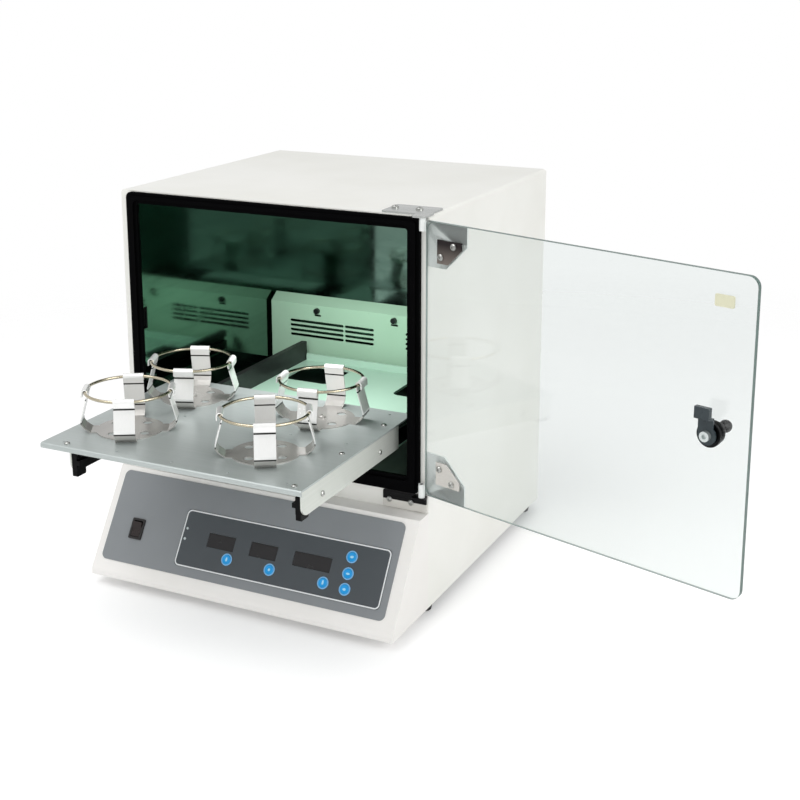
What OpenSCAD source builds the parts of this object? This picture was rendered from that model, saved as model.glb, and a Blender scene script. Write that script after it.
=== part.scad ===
// Incubated benchtop shaker: heated cabinet, glass door, sliding orbital platform with vessel clamps.
// Working frame: X = 0 is the cabinet's middle, Y = 0 its front plane, Z = 0 the standing surface.
// placed() then moves the whole so that the origin is the middle of its footprint.

/* [Cabinet] */
// Outside width of the cabinet
cab_w = 390; // [380:1:420]
// Outside depth of the cabinet without the console
cab_d = 352; // [346:1:380]
// Height of the cabinet above its feet
cab_h = 440; // [430:1:480]
// Thickness of the painted sheet
sheet = 1.5; // [1:0.1:2]
// Outside radius of the folds along the roof
fold_r = 4; // [3:0.5:8]
// How far the back panel sits inside the shell
back_inset = 4; // [3:0.5:8]
// Height of the rubber feet
foot_h = 12; // [8:1:20]
// Radius of a foot where it meets the base
foot_r = 10; // [7:1:12]
// Distance of a foot's axis from the cabinet's side
foot_in = 14; // [13:1:30]
// Distance of the front and back feet from the cabinet's ends
foot_end = 20; // [14:1:40]

/* [Chamber] */
// Thickness of each insulated side wall
side_wall = 22; // [20:1:28]
// Thickness of the insulated roof
roof_wall = 12; // [10:1:18]
// Depth of the space behind the chamber
rear_wall = 54; // [52:1:66]
// Height of the drive compartment under the chamber floor
base_h = 150; // [146:1:165]
// Thickness of the polished liner
liner_t = 1.2; // [0.8:0.1:1.6]
// Clearance between neighbouring fixed sheets
seat_gap = 0.3; // [0.2:0.05:0.5]

/* [Door gasket] */
// How far the gasket reaches over the edge of the liner
gasket_lap = 2; // [1:0.5:4]
// Width of the gasket's side bars
gasket_side = 14.5; // [11:0.5:16]
// Width of the gasket's top bar
gasket_top = 12.5; // [9:0.5:13]
// Width of the gasket's bottom bar
gasket_bottom = 18; // [12:0.5:20]
// How far the gasket stands out of the front
gasket_t = 6.5; // [5:0.5:8]

/* [Console] */
// Depth of the console at its foot
console_d = 89; // [80:1:110]
// Depth of the flat ledge at its top
ledge_d = 22; // [18:1:30]
// Height of the ledge above the cabinet's lower edge
ledge_h = 112; // [106:1:118]
// Height of the upright lip at the foot
lip_h = 7; // [5:1:12]
// Radius of the fold above the lip
lip_r = 9; // [6:1:12]
// Distance of the fascia from the console's left side
fascia_left = 9; // [6:1:16]
// Distance of the fascia from the console's right side
fascia_right = 14; // [8:1:18]
// Distance of the fascia from the top of the slope
fascia_drop = 5; // [3:1:8]
// Length of the fascia down the slope
fascia_len = 106; // [100:1:108]
// Thickness of the fascia
fascia_t = 1; // [0.8:0.1:1.5]
// Corner radius of the fascia
fascia_r = 7; // [3:1:12]
// Width of the dark key panel
keys_w = 261; // [255:1:270]
// Length of the dark key panel down the slope
keys_len = 65; // [62:1:68]
// Thickness of the key panel
keys_t = 0.6; // [0.4:0.1:0.8]
// Radius of a push button
button_r = 5.2; // [4.6:0.1:6.5]
// Travel of a push button
button_travel = 1; // [0.6:0.1:1.2]
// Width of the power rocker
rocker_w = 12; // [10:0.5:14]
// Length of the power rocker
rocker_len = 19; // [17:0.5:21]
// Tilt of the power rocker either way
rocker_tilt = 8; // [5:1:10]

/* [Platform] */
// Gap from the plate's left edge to the liner
plate_left = 15; // [13:0.5:20]
// Gap from the plate's right edge to the liner
plate_right = 18; // [15:0.5:22]
// Gap from the front plane to the plate when it is pushed in
plate_front = 24; // [24:1:30]
// Gap from the plate to the back wall when it is pushed in
plate_rear = 24; // [24:1:30]
// Height of the plate's top above the chamber floor
plate_rise = 56; // [54:1:60]
// Thickness of the plate
plate_t = 2; // [1.5:0.1:3]
// Depth of the plate's folded front lip
plate_lip = 5.5; // [4:0.5:8]
// How far the platform slides out
travel = 230; // [180:1:232]
// Height of the flanges under the plate
flange_h = 26; // [24:0.5:27]
// Inset of the left flange from the plate's left edge
flange_in = 36; // [30:1:45]
// Width of a slide bar
bar_w = 6; // [5:0.5:8]
// Running clearance of the slides
slide_gap = 0.3; // [0.2:0.05:0.4]

/* [Vessel clamps] */
// Distance from the plate's left edge to the first column of clamps
clamp_in = 60; // [56:1:66]
// Distance from the plate's right edge to the second column of clamps
clamp_out = 84; // [70:1:90]
// Distance from the plate's front edge to the first row of clamps
clamp_front = 75; // [58:1:76]
// Distance between the two rows of clamps
clamp_pitch_y = 120; // [112:1:120]
// Radius of a clamp at its widest
clamp_r = 51; // [44:0.5:52]
// Radius of the wire ring
ring_r = 46; // [40:0.5:46.5]
// Height of the wire ring above the plate
ring_h = 45; // [40:1:56]
// Radius of the ring's wire
ring_wire = 1.6; // [1.2:0.1:2]
// Width of a clamp's arm
arm_w = 22; // [14:1:26]
// Thickness of a clamp's sheet
arm_t = 1.2; // [0.8:0.1:1.6]

/* [Door] */
// Thickness of the glass
door_t = 5; // [4:0.5:6]
// Distance of the hinge axis from the cabinet's side
hinge_in = 5; // [4.5:0.1:6]
// Overlap of the door past the gasket at its free edge
door_over = 4.5; // [2:0.5:5]
// Overlap of the door past the gasket at its top
door_top_over = -1.5; // [-4:0.5:-1]
// Distance of the door's lower edge above the gasket's lower edge
door_low_in = 3; // [1:0.5:5]
// Gap between the closed glass and the gasket
door_gap = 0.5; // [0.3:0.1:1]
// Corner radius of the glass
door_r = 10; // [4:1:20]
// Angle to which the door stands open
door_open = 163.5; // [120:0.5:164]
// Radius of the hinge pins
pin_r = 2; // [1.5:0.1:2.2]
// Radial clearance of turning parts on their pins
pin_gap = 0.05; // [0.03:0.01:0.1]
// Radius of the hinge barrels
barrel_r = 3.6; // [3.2:0.1:3.8]
// Length of the door brackets along the glass
bracket_w = 57; // [48:1:62]
// Height of the door brackets
bracket_h = 48; // [45:1:54]
// Distance of the latch from the glass's free edge
latch_in = 38; // [36:1:50]
// Height of the latch above the door's lower edge
latch_up = 151; // [120:1:180]
// Reach of the latch cam
cam_reach = 28; // [25:0.5:29]

/* [Drive] */
// Radius of the shaking orbit
orbit_r = 8; // [4:0.5:8]
// Radius of the driven pulley
pulley_r = 48; // [40:1:52]
// Radius of the motor pulley
motor_pulley_r = 14; // [12:0.5:16]
// Distance between the motor's axis and the spindle's axis
belt_reach = 112; // [100:1:118]
// Radius of the drive motor
motor_r = 34; // [28:1:38]
// Radius of the spindle
spindle_r = 7; // [6:0.5:8]
// Radius of the fan wheel
fan_r = 34; // [26:1:36]

/* [Hidden] */
$fn = 48;
eps = 0.01;
mirror_pair = [-1, 1];

// Cabinet and chamber
half_w = cab_w / 2;
top_z = foot_h + cab_h;
ch_half = half_w - side_wall;
ch_d = cab_d - rear_wall;
floor_z = foot_h + base_h;
ceil_z = top_z - roof_wall;
liner_half = ch_half + liner_t;
back_y = cab_d - back_inset - sheet;

// Gasket opening and outline
mouth_half = ch_half - gasket_lap;
mouth_low = floor_z + gasket_lap;
mouth_high = ceil_z - gasket_lap;
gasket_half = mouth_half + gasket_side;
gasket_low = mouth_low - gasket_bottom;
gasket_high = mouth_high + gasket_top;

// Console slope, measured from the front edge of the ledge
ledge_z = foot_h + ledge_h;
slope_run = console_d - ledge_d;
slope_drop = ledge_h - lip_h;
slope_a = atan2(slope_drop, slope_run);
slope_len = norm([slope_run, slope_drop]);
fascia_x0 = -half_w + fascia_left;
fascia_x1 = half_w - fascia_right;
keys_edge = 8;
keys_x1 = fascia_x1 - keys_edge;
keys_x0 = keys_x1 - keys_w;
keys_s1 = fascia_drop + fascia_len - keys_edge - 2;
keys_s0 = keys_s1 - keys_len;
keys_r = 5;
panel_z = fascia_t + keys_t;
// Buttons and displays, from the key panel's left upper corner
buttons = [[66, 47], [121.6, 47.8], [189.4, 49.2], [216, 15.8], [216, 34], [216.5, 50.9]];
display_x = [[36, 70.5], [91.7, 125.5], [147.5, 193.5]];
display_s = [22, 37.5];
lamps = [[5.5, 22], [5.5, 33.8]];
lamp_r = 1.5;
button_gap = 0.3;
ring_band = 1.2;
board_drop = 8;
board_t = 1.6;
rocker_x = fascia_x0 + 37.5;
rocker_s = fascia_drop + 65.5;
bezel_edge = 2.5;

// Platform
plate_x0 = -ch_half + plate_left;
plate_x1 = ch_half - plate_right;
plate_w = plate_x1 - plate_x0;
plate_d = ch_d - plate_front - plate_rear;
plate_y0 = plate_front - travel;
plate_y1 = plate_y0 + plate_d;
plate_z = floor_z + plate_rise;
plate_under = plate_z - plate_t;
flange_t = 2;
flange_leaf = 16;
flange_z = plate_under - flange_h;
flange_left_x = plate_x0 + flange_in;
bar_right_x = plate_x1 - flange_t - bar_w;
bar_z0 = flange_z + 2;
bar_z1 = plate_under - 6;
bar_back = plate_y1 + 6;
tongue_w = 3.7;
tongue_h = 5;
tongue_z = (bar_z0 + bar_z1) / 2;
rail_w = 7.7;
rail_front = plate_front - 4;
rail_back = plate_y1 + travel - 6;
rail_z0 = flange_z - 3;
rail_z1 = plate_under - flange_t - 2;
tray_t = 3;

// Clamps
clamp_x = [plate_x0 + clamp_in, plate_x1 - clamp_out];
clamp_y = [plate_y0 + clamp_front, plate_y0 + clamp_front + clamp_pitch_y];
clamp_turn = [30, 22, 31, 10];
clamp_at = [[0, 0], [0, 1], [1, 0], [1, 1]];
clamp_base_r = 36;
curl_sag = ring_r - sqrt(ring_r * ring_r - arm_w * arm_w / 4);
curl_r = ring_wire + (curl_sag + arm_t) / 2 + 0.25;

// Door: local x runs from the hinge axis along the glass, y out of the cabinet, z up
hinge_x = half_w - hinge_in;
hinge_y = -gasket_t - door_gap;
door_w = hinge_x + gasket_half + door_over;
latch_w = door_w - latch_in;
door_z0 = gasket_low + door_low_in;
door_z1 = gasket_high + door_top_over;
door_turn = door_open - 180;
glass_start = 4.8;
barrel_h = 11;
bracket_t = 2;
latch_z = door_z0 + latch_up;
latch_bore = 5;
cam_t = 2;
cam_step = 8;
cam_w = 18;

// Drive: the crank pin carries the carriage, at the back of its orbit
hub_x = (plate_x0 + plate_x1) / 2;
hub_y = plate_front + plate_d / 2;
axis_y = hub_y - orbit_r;
pulley_z = foot_h + base_h - 36;
pulley_h = 13;
belt_t = 1.5;
belt_h = 10;
belt_gap = 0.3;
crank_z = floor_z + 5;
crank_t = 5;
crank_pin_r = 5;
tray_z = rail_z0 - tray_t;
motor_x = hub_x - belt_reach;
pulley_ratio = pulley_r / motor_pulley_r;

// Fan behind the chamber's back wall
fan_z = floor_z + 60;
fan_y = ch_d + liner_t + 3;
fan_depth = 14;
fan_case_d = 24;
fan_case_w = 124;
fan_case_h = 104;
fan_cavity_r = 48;
heater_r = 42;
heater_wire = 2;
plenum_d = 14;
plenum_z0 = floor_z + 16;
plenum_face = 80;
plenum_slope = 10;
plenum_t = 1.2;
plenum_half = ch_half - 4;

// Whole footprint
x_low = -half_w;
x_high = hinge_x + door_w * cos(180 - door_open) + door_t * sin(180 - door_open);
y_low = plate_y0;
y_high = cab_d;
shift_x = -(x_low + x_high) / 2;
shift_y = -(y_low + y_high) / 2;

// Small fixed parts
pan_h = 14;
inlet_x = -130;
inlet_z = foot_h + 40;
inlet_w = 27.5;
inlet_h = 20;
inlet_flange = 3;
cam_tab = 5;
cam_face = 5 + seat_gap + cam_t;
keeper_y = hinge_y + cam_face + cam_step - cam_tab - 1.5;
keeper_d = cam_tab + 3;
keeper_h = 26;
fan_inlet_r = 26;
outlet_half = 38;
outlet_h = 9;
probe_x = 100;
probe_z = floor_z + 36;
probe_r = 2.5;
shaft_r = 2.5;
shaft_len = 16;
plenum_mid = 9;
louvre_cols = [[23, 66], [68, 149]];
louvre_h = 3.6;
louvre_pitch = 6.4;
louvre_up = 35;
knob_x = [plenum_mid - 107, plenum_mid + 7, plenum_mid + 121];
knob_z = plenum_z0 + 73;
knob_r = 3.8;
knob_stem = 2;
keyhole = [10.4, 2.6];
keyhole_drop = 8;
supply_x = 60;
supply_y = 170;
supply_w = 98;
supply_len = 150;
supply_h = 42;
hinge_t = 2;
hinge_plate_w = 54;
hinge_plate_d = 42;
hinge_screw_x = [half_w - 50.5, half_w - 22];
hinge_screw_y = 22;
low_ear_z = gasket_low - 3.5;
low_screw_x = [half_w - 46, half_w - 20];
low_screw_z = ledge_z + 10;
back_flange = 20;
back_screws = [for (x = mirror_pair, z = [foot_h + pan_h / 2, foot_h + cab_h / 2, top_z - back_flange / 2])
  [x * (half_w - back_flange / 2), z]];
keys_rim = 3;
bracket_spots = [[26, 35], [43, 22]];
pad_t = 1.5;
pad_x = hinge_x - mouth_half + 2;
pad_low = max(gasket_bottom - door_low_in, gasket_top + door_top_over) + 2;
flange_len = 212;
flange_screw_y = [42, 168];
hole_x = [for (i = [0 : 4]) plate_x0 + 22 + i * (plate_w - 44) / 4];
hole_y = [plate_y0 + 12, plate_y0 + clamp_front + clamp_pitch_y / 2, plate_y1 - 12];
screw_edge = 9;
screw_in = 12;
plate_screws = concat(
  [for (k = [0 : 2]) [plate_x1 - screw_in, plate_y0 + screw_edge + k * (flange_len / 2 - screw_edge)]],
  [for (y = [screw_edge, clamp_front + clamp_pitch_y / 2]) [flange_left_x - flange_leaf / 2, plate_y0 + y]]);
tray_cut = 66;

// Shared shapes
module placed() {
  translate([shift_x, shift_y, 0]) children();
}

// Rectangle from p to q with rounded corners
module rrect(p, q, r) {
  translate([p.x + r, p.y]) square([q.x - p.x - 2 * r, q.y - p.y]);
  translate([p.x, p.y + r]) square([q.x - p.x, q.y - p.y - 2 * r]);
  for (x = [p.x + r, q.x - r], y = [p.y + r, q.y - r]) translate([x, y]) circle(r);
}

// Outline drawn in X and Z, extruded towards the front from the plane y
module upright(y, t) {
  translate([0, y, 0]) rotate([90, 0, 0]) linear_extrude(t) children();
}

// Outline drawn in Y and Z, extruded from x0 to x1
module profile(x0, x1) {
  translate([x0, 0, 0]) rotate([90, 0, 90]) linear_extrude(x1 - x0) children();
}

// Round bar, hole or plug along Y from y0 to y1
module along_y(x, z, y0, y1, r) {
  translate([x, y0, z]) rotate([-90, 0, 0]) cylinder(r = r, h = y1 - y0);
}

// Pan head screw with its head's underside at the origin, head up
module pan_screw(r, shank) {
  rotate_extrude() polygon([[0, -shank], [r * 0.45, -shank], [r * 0.45, 0], [r, 0], [r, r * 0.35],
    [r * 0.7, r * 0.6], [r * 0.35, r * 0.66], [r * 0.35, r * 0.3], [0, r * 0.3]]);
}

// Local frame of the slope: x across, y up the slope, z out of it
module on_slope() {
  translate([0, -ledge_d, ledge_z]) rotate([slope_a, 0, 0]) children();
}

// Plate on the slope from z0 to z1, in the outline of its children
module slope_plate(z0, z1) {
  on_slope() translate([0, 0, z0]) linear_extrude(z1 - z0) children();
}

// Local frame of the door as it stands open
module on_door() {
  translate([hinge_x, hinge_y, 0]) rotate([0, 0, door_turn]) children();
}

// Cabinet
module cab_outline(inset, low) {
  w = half_w - inset;
  rrect([-w, low], [w, top_z - inset], fold_r - inset);
  translate([-w, low]) square([2 * w, cab_h / 2]);
}

module cabinet_shell() {
  cable_w = 60;
  cable_z = foot_h + 50;
  color("#ecede8") difference() {
    upright(cab_d, cab_d) cab_outline(0, foot_h);
    upright(back_y - sheet, back_y - 2 * sheet) cab_outline(sheet, foot_h - 1);
    upright(cab_d + 1, cab_d + 1 - back_y) cab_outline(sheet, foot_h - 1);
    upright(back_y + 1, sheet + 2) translate([-half_w + back_flange, foot_h - 1])
      square([cab_w - 2 * back_flange, cab_h - back_flange + 1]);
    upright(sheet + 1, sheet + 2)
      translate([-liner_half - seat_gap, floor_z - liner_t - seat_gap])
        square([2 * (liner_half + seat_gap), ceil_z - floor_z + 2 * (liner_t + seat_gap)]);
    upright(sheet + 1, sheet + 2) rrect([-cable_w / 2, cable_z], [cable_w / 2, cable_z + 24], 6);
  }
}

// Rows of ventilation slots centred on x, from z upwards
module slot_rows(x, z, count, pitch, len, high = 3) {
  for (i = [0 : count - 1])
    rrect([x - len / 2, z + i * pitch], [x + len / 2, z + i * pitch + high], high / 2 - 0.01);
}

module back_panel() {
  w = half_w - sheet - seat_gap;
  color("#dfe1dc") difference() {
    upright(back_y + sheet, sheet) {
      rrect([-w, foot_h], [w, top_z - sheet - seat_gap], fold_r - sheet);
      translate([-w, foot_h]) square([2 * w, cab_h / 2]);
    }
    upright(back_y + sheet + 1, sheet + 2) {
      for (x = [-60, 60]) slot_rows(x, foot_h + 60, 8, 9, 80);
      slot_rows(0, fan_z - 32, 7, 9, 60);
      translate([inlet_x - inlet_w / 2 - seat_gap, inlet_z - inlet_h / 2 - seat_gap])
        square([inlet_w + 2 * seat_gap, inlet_h + 2 * seat_gap]);
      for (p = back_screws) translate(p) circle(1.5);
    }
  }
}

module base_pan() {
  w = half_w - sheet - seat_gap;
  y0 = sheet + seat_gap;
  d = back_y - sheet - seat_gap - y0;
  color("#b9bcba") difference() {
    translate([-w, y0, foot_h]) cube([2 * w, d, pan_h]);
    translate([-w + sheet, y0 + sheet, foot_h + sheet]) cube([2 * (w - sheet), d - 2 * sheet, pan_h]);
    for (i = [0 : 6]) translate([motor_x - 30, axis_y - 33 + i * 10, foot_h - 1])
      linear_extrude(sheet + 2) rrect([0, 0], [60, 4], 1.9);
  }
}

module feet() {
  color("#191919") for (x = mirror_pair, y = [foot_end, cab_d - foot_end])
    translate([x * (half_w - foot_in), y, 0]) rotate_extrude()
      polygon([[0, 0], [foot_r * 0.76, 0], [foot_r * 0.84, 0.8], [foot_r, foot_h - 3], [foot_r, foot_h],
        [0, foot_h]]);
}

// Fibre blanket folded over the liner's two sides and its roof
module insulation() {
  w = half_w - sheet - seat_gap;
  inner = liner_half + seat_gap;
  y0 = sheet + seat_gap;
  color("#d8c98e") difference() {
    translate([-w, y0, floor_z]) cube([2 * w, ch_d - y0, top_z - sheet - seat_gap - floor_z]);
    translate([-inner, y0 - 1, floor_z - 1]) cube([2 * inner, ch_d + 2, ceil_z + liner_t + seat_gap - floor_z + 1]);
    translate([-inner - 10, y0 - 1, latch_z - keeper_h / 2 - 3]) cube([12, keeper_d + 6, keeper_h + 6]);
    for (x = mirror_pair) translate([x * w, ch_d / 2, top_z - sheet - seat_gap]) rotate([0, 45, 0])
      cube([5, ch_d, 5], center = true);
  }
}

module chamber_liner() {
  color("#a9b6ae") difference() {
    translate([-liner_half, 0, floor_z - liner_t])
      cube([2 * liner_half, ch_d + liner_t, ceil_z - floor_z + 2 * liner_t]);
    translate([-ch_half, -1, floor_z]) cube([2 * ch_half, ch_d + 1, ceil_z - floor_z]);
    translate([hub_x, axis_y, floor_z - liner_t - 1]) cylinder(r = spindle_r + 4, h = liner_t + 2);
    along_y(0, fan_z, ch_d - 1, ch_d + liner_t + 1, fan_inlet_r);
    translate([-outlet_half, ch_d - 1, floor_z + 3]) cube([2 * outlet_half, liner_t + 2, outlet_h]);
    translate([-liner_half - 1, keeper_y, latch_z - keeper_h / 2]) cube([liner_t + 2, keeper_d, keeper_h]);
    along_y(probe_x, probe_z, ch_d - 1, ch_d + liner_t + 1, probe_r);
  }
}

module gasket_ring(grow, r) {
  difference() {
    rrect([-gasket_half + grow, gasket_low + grow], [gasket_half - grow, gasket_high - grow], 7 - grow);
    rrect([-mouth_half - grow, mouth_low - grow], [mouth_half + grow, mouth_high + grow], r + grow);
  }
}

module door_gasket() {
  bead = 2.2;
  color("#151515") {
    upright(0, gasket_t - bead) gasket_ring(0, 3);
    upright(-gasket_t + bead, bead) gasket_ring(gasket_top / 3, 3);
  }
}

// Louvred air duct across the foot of the back wall
module plenum_cover() {
  y0 = ch_d - plenum_d;
  zf = plenum_z0 + plenum_face;
  t = plenum_t;
  drop = t / cos(atan2(plenum_slope, plenum_d));
  rise = plenum_slope / plenum_d;
  color("#c9d3c6") difference() {
    profile(-plenum_half, plenum_half)
      polygon([[ch_d, plenum_z0], [y0, plenum_z0], [y0, zf], [ch_d, zf + plenum_slope]]);
    profile(-plenum_half + t, plenum_half - t)
      polygon([[ch_d + 1, plenum_z0 + t], [y0 + t, plenum_z0 + t], [y0 + t, zf + rise * t - drop],
        [ch_d + 1, zf + rise * (plenum_d + 1) - drop]]);
    upright(y0 + t + 1, t + 2) {
      for (side = mirror_pair, col = louvre_cols)
        slot_rows(plenum_mid + side * (col[0] + col[1]) / 2, plenum_z0 + louvre_up, 4, louvre_pitch,
          col[1] - col[0], louvre_h);
      for (x = knob_x) slot_rows(x, knob_z - keyhole_drop, 1, 0, keyhole[0], keyhole[1]);
    }
    for (x = knob_x) along_y(x, knob_z, y0 - 1, y0 + t + 1, knob_stem + seat_gap);
  }
}

// Knurled knobs that hold the duct cover to studs on the back wall
module plenum_knobs() {
  y0 = ch_d - plenum_d;
  color("#2b2b2b") for (x = knob_x) {
    along_y(x, knob_z, y0, ch_d, knob_stem);
    difference() {
      along_y(x, knob_z, y0 - 5, y0, knob_r);
      for (a = [0 : 36 : 324]) translate([x, 0, knob_z]) rotate([0, a, 0]) along_y(knob_r, 0, y0 - 6, y0 + 1, 0.5);
    }
  }
}

// Scroll case of the fan, open to the liner's inlet and to the outlet along the floor
module fan_housing() {
  y0 = ch_d + liner_t;
  wall = 2;
  low = floor_z + 1;
  color("#9aa09c") difference() {
    upright(y0 + fan_case_d, fan_case_d)
      rrect([-fan_case_w / 2, low], [fan_case_w / 2, fan_z + fan_cavity_r + 4], 6);
    along_y(0, fan_z, y0 - 1, y0 + fan_case_d - wall, fan_cavity_r);
    translate([-outlet_half, y0 - 1, floor_z + 3]) cube([2 * outlet_half, fan_case_d - wall + 1, fan_z - floor_z - 3]);
    along_y(0, fan_z, y0, y0 + fan_case_d + 1, shaft_r + 1);
    for (x = mirror_pair) along_y(x * 8, fan_z - heater_r, y0, y0 + fan_case_d + 1, heater_wire + seat_gap);
  }
}

module fan_wheel() {
  blade_t = 1.2;
  blades = 24;
  color("#c4c8c8") translate([0, fan_y, fan_z]) rotate([-90, 0, 0]) difference() {
    union() {
      translate([0, 0, fan_depth - 1.5]) cylinder(r = fan_r, h = 1.5);
      difference() {
        cylinder(r = fan_r, h = 1.5);
        translate([0, 0, -1]) cylinder(r = fan_r - 8, h = 4);
      }
      for (i = [0 : blades - 1]) rotate([0, 0, i * 360 / blades]) translate([fan_r - 6.8, 0, 1]) rotate([0, 0, 28])
        cube([6.4, blade_t, fan_depth - 2]);
      translate([0, 0, fan_depth - 9]) cylinder(r = 7, h = 9);
      translate([0, 0, fan_depth - 2]) cylinder(r = shaft_r, h = shaft_len);
    }
    translate([0, 0, fan_depth - 10]) cylinder(r = 1.5, h = 5);
  }
}

module fan_motor() {
  y0 = ch_d + liner_t + fan_case_d;
  color("#3b3d3f") difference() {
    union() {
      along_y(0, fan_z, y0, back_y - 3, 21);
      along_y(0, fan_z, y0, y0 + 3, 27);
    }
    along_y(0, fan_z, y0 - 1, y0 + shaft_len, shaft_r + pin_gap);
    for (a = [0 : 20 : 340]) translate([0, 0, fan_z]) rotate([0, a, 0]) translate([20, y0 + 6, -1])
      cube([3, back_y - y0, 2]);
  }
}

// Sheathed heating ring round the fan wheel, its two legs passing back through the case
module heater() {
  y = fan_y + fan_depth / 2;
  color("#8d5a3c") {
    translate([0, y, fan_z]) rotate([90, 0, 0]) difference() {
      rotate_extrude() translate([heater_r, 0]) circle(heater_wire);
      translate([0, -heater_r, 0]) cube([10, 10, 10], center = true);
    }
    for (x = mirror_pair) along_y(x * 8, fan_z - heater_r, y, ch_d + liner_t + fan_case_d + 8, heater_wire);
  }
}

module temp_probe() {
  color("#b7bcbe") {
    along_y(probe_x, probe_z, ch_d - 9, ch_d + liner_t + 1, probe_r - 0.2);
    along_y(probe_x, probe_z, ch_d + liner_t, ch_d + liner_t + 12, probe_r - 0.6);
    translate([probe_x, ch_d - 9, probe_z]) sphere(probe_r - 0.2);
    along_y(probe_x, probe_z, ch_d - 2, ch_d, probe_r + 3);
  }
}

// Console: a folded wedge, open at the back
function arc(c, r, a0, a1, n) = [for (i = [0 : n]) c + r * [cos(a0 + (a1 - a0) * i / n), sin(a0 + (a1 - a0) * i / n)]];

// Side outline of the console, t inside its outer skin, in Y and Z
function console_side(t, low, back) = concat([[back, low], [-console_d + t, low]],
  arc([-console_d + lip_r, foot_h + lip_h - lip_r * tan((90 - slope_a) / 2)], lip_r - t, 180, 90 + slope_a, 8),
  [[-ledge_d + t * tan(slope_a / 2), ledge_z - t], [back, ledge_z - t]]);

module console_housing() {
  color("#ebe9e5") difference() {
    profile(-half_w, half_w) polygon(console_side(0, foot_h, 0));
    profile(-half_w + sheet, half_w - sheet) polygon(console_side(sheet, foot_h + sheet, 1));
    slope_plate(-sheet - 4, 1) {
      rrect([keys_x0 + keys_rim, -keys_s1 + keys_rim], [keys_x1 - keys_rim, -keys_s0 - keys_rim], 3);
      bezel_hole(seat_gap);
    }
  }
}

module bezel_hole(gap) {
  w = rocker_w / 2 + 1 + gap;
  l = rocker_len / 2 + 1 + gap;
  translate([rocker_x - w, -rocker_s - l]) square([2 * w, 2 * l]);
}

// Openings for keys, lamps and displays
module key_holes(gap) {
  for (b = buttons) translate([keys_x0 + b.x, -keys_s0 - b.y]) circle(button_r + gap);
  for (p = lamps) translate([keys_x0 + p.x, -keys_s0 - p.y]) circle(lamp_r + seat_gap);
  for (d = display_x) translate([keys_x0 + d[0] - seat_gap, -keys_s0 - display_s[1] - seat_gap])
    square([d[1] - d[0] + 2 * seat_gap, display_s[1] - display_s[0] + 2 * seat_gap]);
}

module fascia() {
  color("#898e91") difference() {
    slope_plate(0, fascia_t)
      rrect([fascia_x0, -fascia_drop - fascia_len], [fascia_x1, -fascia_drop], fascia_r);
    slope_plate(-1, fascia_t + 1) {
      key_holes(button_gap);
      bezel_hole(seat_gap);
    }
  }
}

module key_panel() {
  color("#515558") difference() {
    slope_plate(fascia_t, panel_z) rrect([keys_x0, -keys_s1], [keys_x1, -keys_s0], keys_r);
    slope_plate(0, panel_z + 1) key_holes(button_gap);
  }
}

module button_rings() {
  inner = button_r + button_gap;
  color("#c6d6e4") for (b = buttons) slope_plate(panel_z, panel_z + 0.5)
    translate([keys_x0 + b.x, -keys_s0 - b.y]) difference() {
      circle(inner + ring_band);
      circle(inner);
    }
}

// Push button with a dished top and a flange that stops it under the fascia
module button(i) {
  b = buttons[i];
  color("#0f66b0") on_slope() translate([keys_x0 + b.x, -keys_s0 - b.y, 0]) difference() {
    rotate_extrude() polygon([[0, -3.2], [button_r + 1.2, -3.2], [button_r + 1.2, -2.2], [button_r + 1.2, -seat_gap * 2],
      [button_r, -seat_gap * 2], [button_r, panel_z + 0.7], [button_r - 0.6, panel_z + 1.3], [0, panel_z + 1.3]]);
    translate([0, 0, panel_z + 1.3 + 18.5]) sphere(19);
  }
}

module displays() {
  color("#363638") for (d = display_x) slope_plate(-board_drop + board_t / 2, panel_z - 0.2)
    translate([keys_x0 + d[0], -keys_s0 - display_s[1]]) square([d[1] - d[0], display_s[1] - display_s[0]]);
}

module indicator_lamps() {
  low = -board_drop + board_t / 2;
  color("#8a1f1c") for (p = lamps) on_slope() translate([keys_x0 + p.x, -keys_s0 - p.y, 0])
    rotate_extrude() polygon([[0, low], [lamp_r, low], [lamp_r, panel_z + 0.3], [lamp_r - 0.5, panel_z + 0.8],
      [0, panel_z + 0.8]]);
}

module switch_bezel() {
  w = rocker_w / 2;
  l = rocker_len / 2;
  edge = bezel_edge;
  color("#e4e3df") difference() {
    union() {
      slope_plate(fascia_t, fascia_t + 1.6)
        rrect([rocker_x - w - edge, -rocker_s - l - edge], [rocker_x + w + edge, -rocker_s + l + edge], 1.5);
      slope_plate(-14, fascia_t) bezel_hole(0);
    }
    slope_plate(-12, fascia_t + 3) translate([rocker_x - w, -rocker_s - l]) square([2 * w, 2 * l]);
  }
}

// Rocker with two faces that meet over its pivot
module power_rocker() {
  w = rocker_w / 2 - seat_gap;
  l = rocker_len / 2 - 1;
  color("#17181a") on_slope() translate([rocker_x, -rocker_s, 0]) rotate([rocker_tilt, 0, 0])
    profile(-w, w) polygon([[-l, 3.6], [0, 2.4], [l, 3.6], [l - 1.2, -1.5], [3.2, -5.5], [-3.2, -5.5],
      [-l + 1.2, -1.5]]);
}

// Circuit board on four pillars, with a switch under each button
module control_board() {
  x0 = keys_x0 - 8;
  x1 = keys_x1 + 8;
  low = -board_drop - board_t / 2;
  high = -board_drop + board_t / 2;
  pillars = [for (x = [x0 + 4, x1 - 4], y = [-keys_s1 + 8, -keys_s0 - 8]) [x, y]];
  color("#1f5a3a") {
    slope_plate(low, high) translate([x0, -keys_s1 + 1]) square([x1 - x0, keys_len - 2]);
    for (b = buttons) slope_plate(high - eps, -3.2 - button_travel - seat_gap)
      translate([keys_x0 + b.x - 3, -keys_s0 - b.y - 3]) square(6);
    for (p = pillars) slope_plate(high - eps, -sheet) translate(p) circle(2.8);
  }
}

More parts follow.
